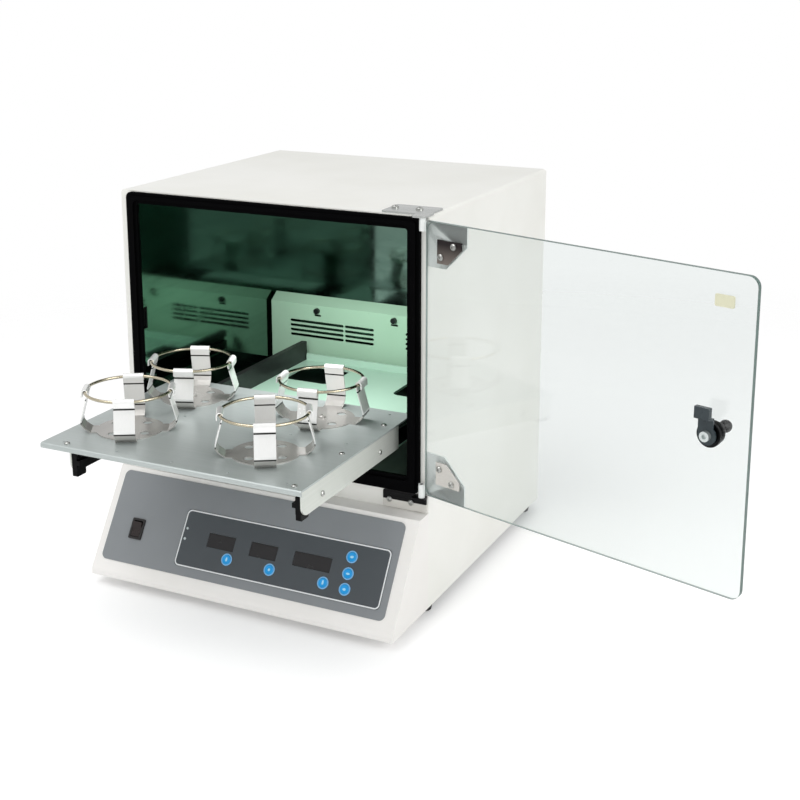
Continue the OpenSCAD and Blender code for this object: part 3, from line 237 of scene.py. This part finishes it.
def moulded(name, body, bloom, gloss=0.45, grain=1800.0, bump=0.12, shine=0.5):
    return finishOf(name, "moulded", {"Body": tone(*body), "Bloom": tone(*bloom), "Gloss": gloss,
                                      "Grain per metre": grain}, bump, 0.2 * mm, Specular_IOR_Level=shine)


def evenSqueeze(perMetre):
    # no direction of brushing: the same grain every way
    return perMetre, perMetre, perMetre


# Finishes by node: two colours each, then how rough, how fine and how deep.
alongX, alongY, alongZ = (5.0, 900.0, 900.0), (900.0, 5.0, 900.0), (900.0, 900.0, 5.0)
keyCount, clampCount = 6, 4
whitePaint = powder("whitePowderCoat", (238, 238, 233), (232, 232, 226))
consolePaint = powder("consolePowderCoat", (239, 237, 234), (233, 231, 227))
darkZinc = brushed("zincPlate", (168, 171, 168), (140, 143, 140), evenSqueeze(40.0), 0.42)
screwSteel = brushed("screwSteel", (205, 206, 202), (160, 161, 158), evenSqueeze(300.0), 0.26)
finishes = {
    "cabinet_shell": whitePaint,
    "back_panel": powder("backPowderCoat", (236, 236, 231), (229, 229, 224)),
    "base_pan": darkZinc,
    "feet": moulded("footRubber", (22, 22, 23), (52, 52, 51), 0.6, 1200.0, 0.2),
    "insulation": powder("feltBlanket", (46, 48, 48), (36, 38, 38), 0.9, 260.0, 1.0),
    "door_gasket": moulded("gasketRubber", (2, 2, 3), (8, 8, 8), 0.65, 1500.0, 0.15, 0.04),
    "plenum_cover": powder("plenumPaint", (166, 202, 176), (158, 195, 168), 0.3, 1100.0),
    "plenum_knobs": moulded("knobPlastic", (20, 24, 24), (48, 54, 52), 0.35),
    "fan_housing": darkZinc,
    "fan_wheel": brushed("fanAluminium", (196, 199, 198), (165, 168, 167), evenSqueeze(60.0), 0.35),
    "fan_motor": powder("fanMotorEnamel", (58, 60, 62), (48, 50, 52), 0.45, 700.0),
    "heater": brushed("heaterSheath", (128, 122, 112), (88, 80, 72), evenSqueeze(200.0), 0.45),
    "temp_probe": brushed("probeSteel", (198, 200, 198), (170, 172, 170), alongY, 0.22),
    "cabinet_screws": screwSteel,
    "console_housing": consolePaint,
    "fascia": moulded("fasciaPlastic", (132, 136, 139), (138, 142, 145), 0.42, 1500.0, 0.08, 0.35),
    "key_panel": moulded("keyPanelFilm", (76, 81, 85), (82, 87, 91), 0.42, 2200.0, 0.06, 0.3),
    "button_rings": moulded("ringPrint", (128, 188, 234), (140, 196, 238), 0.4),
    "displays": moulded("displayWindow", (44, 43, 44), (50, 49, 50), 0.2, 3000.0, 0.02, 0.3),
    "indicator_lamps": moulded("lampLens", (196, 206, 208), (214, 222, 222), 0.2, 3000.0, 0.02),
    "switch_bezel": moulded("bezelPlastic", (24, 22, 22), (44, 42, 42), 0.4),
    "power_rocker": moulded("rockerPlastic", (30, 20, 19), (58, 44, 42), 0.28),
    "control_board": powder("boardResist", (28, 92, 58), (22, 78, 48), 0.4, 1600.0, 0.1),
    "power_supply": darkZinc,
    "power_inlet": moulded("inletPlastic", (22, 22, 23), (46, 46, 46), 0.5),
    "door_brackets": brushed("bracketSteel", (233, 236, 234), (226, 230, 228), alongX, 0.42, 0.0, 0.4, 0.2),
    "bracket_screws": screwSteel,
    "door_pad": moulded("doorPadFoam", (214, 213, 186), (222, 221, 198), 0.8, 1400.0, 0.3),
    "latch_barrel": moulded("barrelPlastic", (5, 6, 7), (14, 16, 17), 0.22, shine=0.16),
    "latch_handle": moulded("handlePlastic", (2, 2, 3), (7, 7, 7), 0.18, shine=0.14),
    "platform_plate": brushed("plateAluminium", (188, 195, 194), (183, 191, 189), (9.0, 420.0, 420.0), 0.34,
                              0.0, 0.3, 0.42),
    "platform_flanges": brushed("flangeAluminium", (219, 222, 216), (212, 216, 209), alongY, 0.42, 0.01, 0.4,
                                0.45),
    "slide_bars": moulded("slidePlastic", (4, 4, 5), (12, 12, 13), 0.4, shine=0.12),
    "platform_screws": screwSteel,
    "clamp_rings": brushed("ringWire", (226, 217, 194), (190, 180, 156), evenSqueeze(700.0), 0.22),
    "carriage": powder("carriagePaint", (178, 211, 192), (170, 205, 185), 0.32, 1000.0),
    "carriage_rails": moulded("railPlastic", (24, 24, 25), (48, 48, 48), 0.36),
    "bearing_post": powder("postEnamel", (66, 70, 72), (54, 58, 60), 0.5, 600.0, 0.4),
    "crank_spindle": brushed("spindleSteel", (188, 190, 189), (150, 152, 151), evenSqueeze(400.0), 0.25),
    "crank_pulley": brushed("pulleyAluminium", (190, 193, 192), (160, 163, 162), evenSqueeze(200.0), 0.32),
    "counterweight": powder("weightEnamel", (70, 74, 76), (56, 60, 62), 0.5, 500.0, 0.5),
    "motor_pulley": brushed("smallPulleyAluminium", (190, 193, 192), (160, 163, 162), evenSqueeze(200.0), 0.32),
    "drive_motor": powder("driveMotorEnamel", (52, 56, 60), (42, 46, 50), 0.42, 700.0, 0.3),
    "drive_belt": moulded("beltRubber", (20, 20, 20), (36, 36, 36), 0.65),
    "shaft_seal": moulded("sealRubber", (18, 18, 18), (34, 34, 34), 0.6),
}
buttonBlue = moulded("buttonPlastic", (22, 156, 228), (30, 164, 236), 0.34, 2600.0, 0.05)
finishes.update({"button_%d" % number: buttonBlue for number in range(1, keyCount + 1)})


# Finishes that change with the place on the piece. The door stands open, its length turned this far from X.
doorTurn = math.radians(-16.5)
doorAlong = (math.cos(doorTurn), math.sin(doorTurn), 0.0)
doorOut = (-math.sin(doorTurn), math.cos(doorTurn), 0.0)


def shaderOf(material):
    # a finish's tree, its shader, and the socket that gives its colour so far
    tree = material.node_tree
    surface = tree.nodes["Principled BSDF"]
    return tree, surface, surface.inputs["Base Color"].links[0].from_socket


# the floor's dark tone is painted shade
linerFloorShade = {"upFrom": 0.5, "upTo": 0.7, "tone": (13, 18, 16), "duller": 0.28, "metallic": 0.2}


def linerFinish():
    # polished walls and roof; the floor that faces up is dull, and dark with painted shade for the shade under
    # the platform
    made = polished("linerSteel", (108, 137, 124), (98, 127, 115))
    tree, surface, wall = shaderOf(made)
    gloss = surface.inputs["Roughness"].links[0].from_socket
    upward = upwardPart(tree, ownNormal(tree))
    ground = spread(tree, upward, linerFloorShade["upFrom"], linerFloorShade["upTo"], 0.0, 1.0)
    dull = mathNode(tree, "MULTIPLY", ground, linerFloorShade["duller"])
    feed(tree, surface.inputs["Base Color"], mixColour(tree, ground, wall, tone(*linerFloorShade["tone"])))
    feed(tree, surface.inputs["Roughness"], mathNode(tree, "ADD", dull, gloss))
    feed(tree, surface.inputs["Metallic"], spread(tree, ground, 0.0, 1.0, 1.0, linerFloorShade["metallic"]))
    return made


# where the folds lie; dark is the tone of the painted shade in them
clampFolds = {"upper": 255.0 * mm, "lower": 229.0 * mm, "half": 1.1 * mm, "soft": 0.5 * mm, "footSoft": 1.0 * mm,
              "foot": (186, 184, 180), "dark": (34, 34, 32)}


def clampFinish():
    # bright spring steel, with painted shade in the two folds across each arm, and darker on the foot below them
    made = brushed("clampSteel", (252, 252, 251), (248, 249, 247), alongZ, 0.24, 0.0, 0.3, 0.5)
    tree, surface, bright = shaderOf(made)
    height = upwardPart(tree, ownPlace(tree))
    low = clampFolds["lower"]
    foot = spread(tree, height, low - clampFolds["footSoft"], low, 1.0, 0.0)
    colour = mixColour(tree, foot, bright, tone(*clampFolds["foot"]))
    for fold in ("upper", "lower"):
        # each fold gets a thin line of painted shade
        away = mathNode(tree, "ABSOLUTE", mathNode(tree, "SUBTRACT", height, clampFolds[fold]))
        foldShade = spread(tree, away, clampFolds["half"] - clampFolds["soft"], clampFolds["half"], 1.0, 0.0)
        colour = mixColour(tree, foldShade, colour, tone(*clampFolds["dark"]))
    feed(tree, surface.inputs["Base Color"], colour)
    return made


hingeSteps = {"low": 134.0 * mm, "high": 200.0 * mm, "soft": 0.3 * mm, "lip": (212, 210, 204),
              "black": (10, 10, 11), "metallic": 0.7, "shine": 0.12}


def hingeFinish():
    # bright steel above the door; the plate below it is black, with a pale lip along its foot
    made = brushed("hingeSteel", (206, 208, 206), (180, 183, 181), alongX, 0.24, 0.02, 0.5)
    tree, surface, bright = shaderOf(made)
    height = upwardPart(tree, ownPlace(tree))
    upper = spread(tree, height, hingeSteps["high"], hingeSteps["high"] + hingeSteps["soft"], 0.0, 1.0)
    black = spread(tree, height, hingeSteps["low"], hingeSteps["low"] + hingeSteps["soft"], 0.0, 1.0)
    lower = mixColour(tree, black, tone(*hingeSteps["lip"]), tone(*hingeSteps["black"]))
    feed(tree, surface.inputs["Base Color"], mixColour(tree, upper, lower, bright))
    feed(tree, surface.inputs["Metallic"], mathNode(tree, "MULTIPLY", upper, hingeSteps["metallic"]))
    surface.inputs["Specular IOR Level"].default_value = hingeSteps["shine"]
    return made


padSteps = {"dark": 428.0 * mm, "light": 404.0 * mm, "lower": 300.0 * mm, "soft": 1.0 * mm,
            "brown": (128, 119, 112), "darkBrown": (26, 16, 17)}


def padFinish():
    # the lower pad is pale steel; the upper one is browned, darker towards its top edge
    made = brushed("padSteel", (212, 209, 203), (202, 199, 193), alongX, 0.34, 0.0, 0.5, 0.4)
    tree, surface, pale = shaderOf(made)
    height = upwardPart(tree, ownPlace(tree))
    rise = spread(tree, height, padSteps["light"], padSteps["dark"], 0.0, 1.0)
    brown = mixColour(tree, rise, tone(*padSteps["brown"]), tone(*padSteps["darkBrown"]))
    upper = spread(tree, height, padSteps["lower"], padSteps["lower"] + padSteps["soft"], 0.0, 1.0)
    feed(tree, surface.inputs["Base Color"], mixColour(tree, upper, pale, brown))
    return made


latchScrew = {"axis": (0.3375, -0.1771, 0.3), "radius": 4.95 * mm, "headFrom": 7.4 * mm, "soft": 0.1 * mm,
              "tone": (214, 221, 220), "metallic": 0.8}


def camFinish():
    # slate enamel; the socket screw is bright steel, told apart by its distance from the latch's axis
    made = moulded("camEnamel", (50, 59, 63), (66, 75, 79), 0.25, shine=0.34)
    tree, surface, enamel = shaderOf(made)
    arm = vectorNode(tree, "SUBTRACT", ownPlace(tree), latchScrew["axis"])
    depth = vectorNode(tree, "DOT_PRODUCT", arm, doorOut, "Value")
    away = lengthOf(tree, vectorNode(tree, "CROSS_PRODUCT", arm, doorOut))
    radius, head = latchScrew["radius"], -latchScrew["headFrom"]
    near = spread(tree, away, radius - latchScrew["soft"], radius, 1.0, 0.0)
    inner = spread(tree, depth, head - latchScrew["soft"], head, 1.0, 0.0)
    screw = mathNode(tree, "MULTIPLY", near, inner)
    feed(tree, surface.inputs["Base Color"], mixColour(tree, screw, enamel, tone(*latchScrew["tone"])))
    feed(tree, surface.inputs["Metallic"], mathNode(tree, "MULTIPLY", screw, latchScrew["metallic"]))
    return made


pane = {"tone": (240, 244, 243), "edge": (152, 172, 167), "edgeFrom": 0.4, "edgeTo": 0.8, "ground": 0.25,
        "bloom": 0.02, "shade": 0.14, "index": 1.5}


def doorGlassFinish():
    # clear float glass; the ground edges are a dull sea green, and a wiped bloom varies the gloss
    made = bpy.data.materials.new("doorGlass")
    made.use_nodes = True
    tree = made.node_tree
    surface = tree.nodes["Principled BSDF"]
    facing = vectorNode(tree, "DOT_PRODUCT", ownNormal(tree), doorOut, "Value")
    edge = spread(tree, mathNode(tree, "ABSOLUTE", facing), pane["edgeFrom"], pane["edgeTo"], 1.0, 0.0)
    wipe = noise(tree, ownPlace(tree), 14.0, 4.0, 0.6)
    bloom = spread(tree, wipe, 0.4, 0.7, 0.0, pane["bloom"])
    ground = mathNode(tree, "MULTIPLY", edge, pane["ground"])
    feed(tree, surface.inputs["Base Color"], mixColour(tree, edge, tone(*pane["tone"]), tone(*pane["edge"])))
    feed(tree, surface.inputs["Roughness"], mathNode(tree, "ADD", bloom, ground))
    # most of the lamps' light passes through the pane
    shade = node(tree, "ShaderNodeLightPath").outputs["Is Shadow Ray"]
    feed(tree, surface.inputs["Alpha"], spread(tree, shade, 0.0, 1.0, 1.0, pane["shade"]))
    surface.inputs["Transmission Weight"].default_value = 1.0
    surface.inputs["IOR"].default_value = pane["index"]
    return made


finishes["door_glass"] = doorGlassFinish()
finishes["latch_cam"] = camFinish()
finishes["hinge_plates"] = hingeFinish()
finishes["bracket_pads"] = padFinish()
finishes["chamber_liner"] = linerFinish()
clampSteel = clampFinish()
finishes.update({"clamp_%d" % number: clampSteel for number in range(1, clampCount + 1)})
print("nodes without a finish:", sorted(set(nodes) - set(finishes)))
for name, piece in nodes.items():
    for holder in piece.material_slots:
        holder.material = finishes[name]
print("finishes set:", len(finishes))


# Shapes are worked out as arrays of points.
sharpAngle = math.radians(38)


def meshPiece(name, points, faces, material, body, slot):
    # puts points and faces into a mesh at the origin, faces turned outwards, and lets it ride on a body
    mesh = bpy.data.meshes.new(name)
    mesh.from_pydata(np.asarray(points, float).tolist(), [], [list(face) for face in faces])
    cleaner = bmesh.new()
    cleaner.from_mesh(mesh)
    bmesh.ops.remove_doubles(cleaner, verts=cleaner.verts, dist=1e-7)
    bmesh.ops.recalc_face_normals(cleaner, faces=cleaner.faces)
    cleaner.to_mesh(mesh)
    cleaner.free()
    mesh.polygons.foreach_set("use_smooth", np.full(len(mesh.polygons), True))
    mesh.materials.append(material)
    made = bpy.data.objects.new(name, mesh)
    bpy.context.scene.collection.objects.link(made)
    mesh.set_sharp_from_angle(angle=sharpAngle)
    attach(made, body)
    return made


def pointsOf(name):
    return np.array([corner.co for corner in nodes[name].data.vertices])


def gridFaces(rows, columns, closeRows):
    # quads of a grid of points numbered row by row; columns run round, and closed rows join last to first
    row = np.arange(rows if closeRows else rows - 1)
    row, column = np.meshgrid(row, np.arange(columns), indexing="ij")
    nextRow, nextColumn = (row + 1) % rows, (column + 1) % columns
    quads = np.stack((row * columns + column, nextRow * columns + column,
                      nextRow * columns + nextColumn, row * columns + nextColumn), -1)
    return quads.reshape(-1, 4).tolist()


def roundPath(low, high, radius, steps=8):
    # a rounded rectangle: each corner is a quarter circle, middle plus radius times (cos a, sin a), and the
    # angle a runs round once; the directions (cos a, sin a) point out of it
    quarter = np.linspace(0.0, math.pi / 2, steps)
    centres = [(high[0] - radius, high[1] - radius), (low[0] + radius, high[1] - radius),
               (low[0] + radius, low[1] + radius), (high[0] - radius, low[1] + radius)]
    angles = np.concatenate([quarter + number * math.pi / 2 for number in range(4)])
    middles = np.repeat(np.array(centres), steps, 0)
    ring = np.column_stack((np.cos(angles), np.sin(angles)))
    return middles + radius * ring, ring


def sweepRound(low, high, radius, profile, along, up, out, level):
    # a profile swept round a rounded rectangle that lies in the plane of along and up, at a level on out:
    # a profile point (p, q) goes p out of the rectangle and q along out
    ring, side = roundPath(low, high, radius)
    path = ring[:, :1] * along + ring[:, 1:] * up + level * out
    sides = side[:, :1] * along + side[:, 1:] * up
    points = path[:, None] + profile[None, :, :1] * sides[:, None] + profile[None, :, 1:] * out
    return points.reshape(-1, 3), gridFaces(len(path), len(profile), True)


def faceFrame(name):
    # the plane of a node's broadest face that looks forward and up: the way along X, the way up the slope,
    # its normal and its offset
    mesh = nodes[name].data
    normals, areas = np.zeros(len(mesh.polygons) * 3), np.zeros(len(mesh.polygons))
    mesh.polygons.foreach_get("normal", normals)
    mesh.polygons.foreach_get("area", areas)
    normals = normals.reshape(-1, 3)
    sloping = (normals[:, 1] < -0.2) & (normals[:, 2] > 0.1)
    out = normals[np.argmax(np.where(sloping, areas, 0.0))]
    along = np.array((1.0, 0.0, 0.0))
    return along, np.cross(out, along), out, float((pointsOf(name) @ out).max())


# Panel print: the pale border and the marks on the keys.
panelPrint = {"inset": 1.1 * mm, "width": 1.5 * mm, "height": 0.22 * mm, "corner": 5.0 * mm, "steps": 7}
printInk = moulded("printInk", (224, 227, 228), (232, 234, 235), 0.5, 2600.0, 0.05)


def inkProfile(width, height, steps):
    # a printed line's section: a flat base under a low arch, height times the square root of 1 - u to the fourth
    u = np.linspace(-1.0, 1.0, steps)
    arch = np.column_stack((u * width / 2, height * np.sqrt(1.0 - u ** 4)))
    return np.vstack((arch, [(width / 2, -height), (-width / 2, -height)]))


def makePanelBorder():
    along, up, out, offset = faceFrame("key_panel")
    points = pointsOf("key_panel")
    flat = np.column_stack((points @ along, points @ up))
    low, high = flat.min(0) + panelPrint["inset"], flat.max(0) - panelPrint["inset"]
    profile = inkProfile(panelPrint["width"], panelPrint["height"], panelPrint["steps"])
    made = sweepRound(low, high, panelPrint["corner"], profile, along, up, out, offset)
    meshPiece("panelBorder", *made, printInk, "cabinet", "key_panel")


# Each mark: half its width and half its height in millimetres, how far it is drawn out, and which way in degrees.
keyMarks = {"rings": 7, "spokes": 40, "height": 0.3 * mm, "sink": 0.1 * mm, "base": 0.5 * mm,
            "dishRadius": 19.0 * mm, "dishDepth": 0.5 * mm, "pointed": 5,
            "shapes": [(1.5, 2.6, 0.25, 90), (1.7, 1.9, 0.1, 60), (1.5, 2.5, 0.45, 90),
                       (2.4, 1.7, 0.3, 30), (2.5, 1.5, 0.2, 0), (2.0, 1.8, 0.4, 180)]}
keyInk = moulded("keyInk", (168, 222, 250), (180, 228, 252), 0.4, 2600.0, 0.05)


def makeKeyMark(number, wide, tall, pull, turn):
    # a domed mark: its outline is an ellipse drawn out towards one side, its height falls with the square of
    # the way out, and it follows the key's dish, which is part of a ball
    along, up, out, _ = faceFrame("key_panel")
    keyPoints = pointsOf("button_%d" % number)
    centre = (keyPoints.min(0) + keyPoints.max(0)) / 2
    centre = centre + (float((keyPoints @ out).max()) - centre @ out) * out
    way = np.linspace(0.0, 1.0, keyMarks["rings"])[:, None]
    angle = np.linspace(0.0, 2 * math.pi, keyMarks["spokes"], endpoint=False)[None]
    reach = 1.0 + pull * np.maximum(0.0, np.cos(angle - math.radians(turn))) ** keyMarks["pointed"]
    p, q = way * wide * mm * reach * np.cos(angle), way * tall * mm * reach * np.sin(angle)
    bend = keyMarks["dishRadius"]
    dish = bend - np.sqrt(bend ** 2 - p ** 2 - q ** 2) - keyMarks["dishDepth"]
    height = (1.0 - way ** 2) * keyMarks["height"] + dish - keyMarks["sink"]
    surface = centre + p[..., None] * along + q[..., None] * up + height[..., None] * out
    rows, columns = p.shape
    points = np.vstack((surface.reshape(-1, 3), surface[-1] - keyMarks["base"] * out))
    faces = gridFaces(rows + 1, columns, False)
    faces.append(list(range(rows * columns, (rows + 1) * columns)))
    meshPiece("keyMark_%d" % number, points, faces, keyInk, "key_%d" % number, "button_%d" % number)


makePanelBorder()
for number, shape in enumerate(keyMarks["shapes"], 1):
    makeKeyMark(number, *shape)
print("panel print made")


# The ground edge inside the door glass.
doorEdge = {"depth": 0.12 * mm, "thick": 0.1 * mm, "inset": 0.25 * mm, "corner": 10.0 * mm}
edgeGrey = moulded("groundEdge", (136, 152, 148), (146, 162, 158), 0.35, 900.0, 0.1)


def makeDoorEdge():
    # a thin band swept round the glass's outline just under its edge: a rectangle nearly as wide as the glass
    # is thick
    along, out, up = np.array(doorAlong), np.array(doorOut), np.array((0.0, 0.0, 1.0))
    points = pointsOf("door_glass")
    flat = np.column_stack((points @ along, points @ up, points @ out))
    low, high = flat.min(0), flat.max(0)
    depth, thick = doorEdge["depth"], doorEdge["thick"]
    half = (high[2] - low[2]) / 2 - doorEdge["inset"]
    profile = np.array([(0.0, -half), (0.0, half), (-thick, half), (-thick, -half)])
    made = sweepRound(low[:2] + depth, high[:2] - depth, doorEdge["corner"] - depth, profile, along, up, out,
                      (low[2] + high[2]) / 2)
    meshPiece("doorEdgeBand", *made, edgeGrey, "door", "door_glass")


makeDoorEdge()
print("door edge made")


# The stage, the lamps and the camera.
studio = {"floorHalf": 1.75, "floorDrop": 0.5 * mm, "floorTone": 0.93, "floorRough": 0.95, "floorShine": 0.1,
          "floorGlow": 0.2, "paneGlow": 0.14, "fadeFrom": 0.8, "fadeTo": 1.7, "skyLight": 0.67, "skyMirror": 0.7}
# each lamp: its power in watts, its width in metres, where it stands and what it looks at
lamps = {"keyLamp": (17.6, 1.8, (-0.7, -0.9, 2.2), (-0.1, 0.0, 0.2)),
         "fillLamp": (16.5, 1.5, (1.9, -0.5, 1.1), (-0.1, 0.0, 0.2)),
         "frontLamp": (11.5, 1.6, (0.0, -2.6, 0.45), (-0.1, 0.0, 0.2)),
         "chamberLamp": (0.8, 0.12, (-0.17, -0.03, 0.385), (-0.17, 0.1, 0.2))}
mirroredLamps = ("keyLamp", "fillLamp")
# the photograph's standpoint: in front, to the right and above
standpoint = {"place": (0.594, -1.348, 0.72), "tilt": 76.54, "turn": 25.7, "lens": 62.2, "sensor": 36.0,
              "shiftUp": -0.15, "near": 0.05, "far": 50.0}


def makeFloor():
    # a flat sheet just under the feet; a little of its own light where the camera looks keeps it white
    half = studio["floorHalf"]
    corners = np.array([(-1, -1), (1, -1), (1, 1), (-1, 1)], float) * half
    points = np.column_stack((corners, np.full(4, -studio["floorDrop"])))
    mesh = bpy.data.meshes.new("studioFloor")
    mesh.from_pydata(points.tolist(), [], [(0, 1, 2, 3)])
    floor = bpy.data.objects.new("studioFloor", mesh)
    bpy.context.scene.collection.objects.link(floor)
    paper = bpy.data.materials.new("studioPaper")
    paper.use_nodes = True
    tree = paper.node_tree
    surface = tree.nodes["Principled BSDF"]
    surface.inputs["Base Color"].default_value = (studio["floorTone"],) * 3 + (1,)
    surface.inputs["Roughness"].default_value = studio["floorRough"]
    surface.inputs["Specular IOR Level"].default_value = studio["floorShine"]
    surface.inputs["Emission Color"].default_value = (1, 1, 1, 1)
    rays = node(tree, "ShaderNodeLightPath").outputs
    glow = mathNode(tree, "ADD", mathNode(tree, "MULTIPLY", rays["Is Camera Ray"], studio["floorGlow"]),
                    mathNode(tree, "MULTIPLY", rays["Is Transmission Ray"], studio["paneGlow"]))
    feed(tree, surface.inputs["Emission Strength"], glow)
    # the sheet fades out with the distance from the object, so that no horizon shows
    reach = lengthOf(tree, ownPlace(tree))
    feed(tree, surface.inputs["Alpha"], spread(tree, reach, studio["fadeFrom"], studio["fadeTo"], 1.0, 0.0))
    mesh.materials.append(paper)


def makeSky():
    # white where the camera looks, and a plain even light for the object
    world = bpy.data.worlds.new("studioWorld")
    bpy.context.scene.world = world
    world.use_nodes = True
    tree = world.node_tree
    sky = tree.nodes["Background"]
    sky.inputs["Color"].default_value = (1, 1, 1, 1)
    rays = node(tree, "ShaderNodeLightPath").outputs
    clear = mathNode(tree, "ADD", rays["Is Camera Ray"], rays["Is Transmission Ray"], clamp=True)
    mirrored = spread(tree, rays["Is Glossy Ray"], 0.0, 1.0, studio["skyLight"], studio["skyMirror"])
    feed(tree, sky.inputs["Strength"], spread(tree, clear, 0.0, 1.0, mirrored, 1.0))


def makeLamp(name, power, size, place, aim):
    light = bpy.data.lights.new(name, "AREA")
    light.energy, light.size, light.shape = power, size, "DISK"
    lamp = bpy.data.objects.new(name, light)
    bpy.context.scene.collection.objects.link(lamp)
    lamp.location = place
    lamp.rotation_euler = (Vector(aim) - Vector(place)).to_track_quat("-Z", "Y").to_euler()
    lamp.visible_camera = False
    lamp.visible_glossy = name in mirroredLamps


def makeCamera():
    lens = bpy.data.cameras.new("photoCamera")
    lens.lens, lens.sensor_width, lens.shift_y = standpoint["lens"], standpoint["sensor"], standpoint["shiftUp"]
    lens.clip_start, lens.clip_end = standpoint["near"], standpoint["far"]
    camera = bpy.data.objects.new("photoCamera", lens)
    bpy.context.scene.collection.objects.link(camera)
    camera.location = standpoint["place"]
    camera.rotation_euler = (math.radians(standpoint["tilt"]), 0.0, math.radians(standpoint["turn"]))
    bpy.context.scene.camera = camera


makeFloor()
makeSky()
for name, settings in lamps.items():
    makeLamp(name, *settings)
makeCamera()
print("stage, light and camera set")
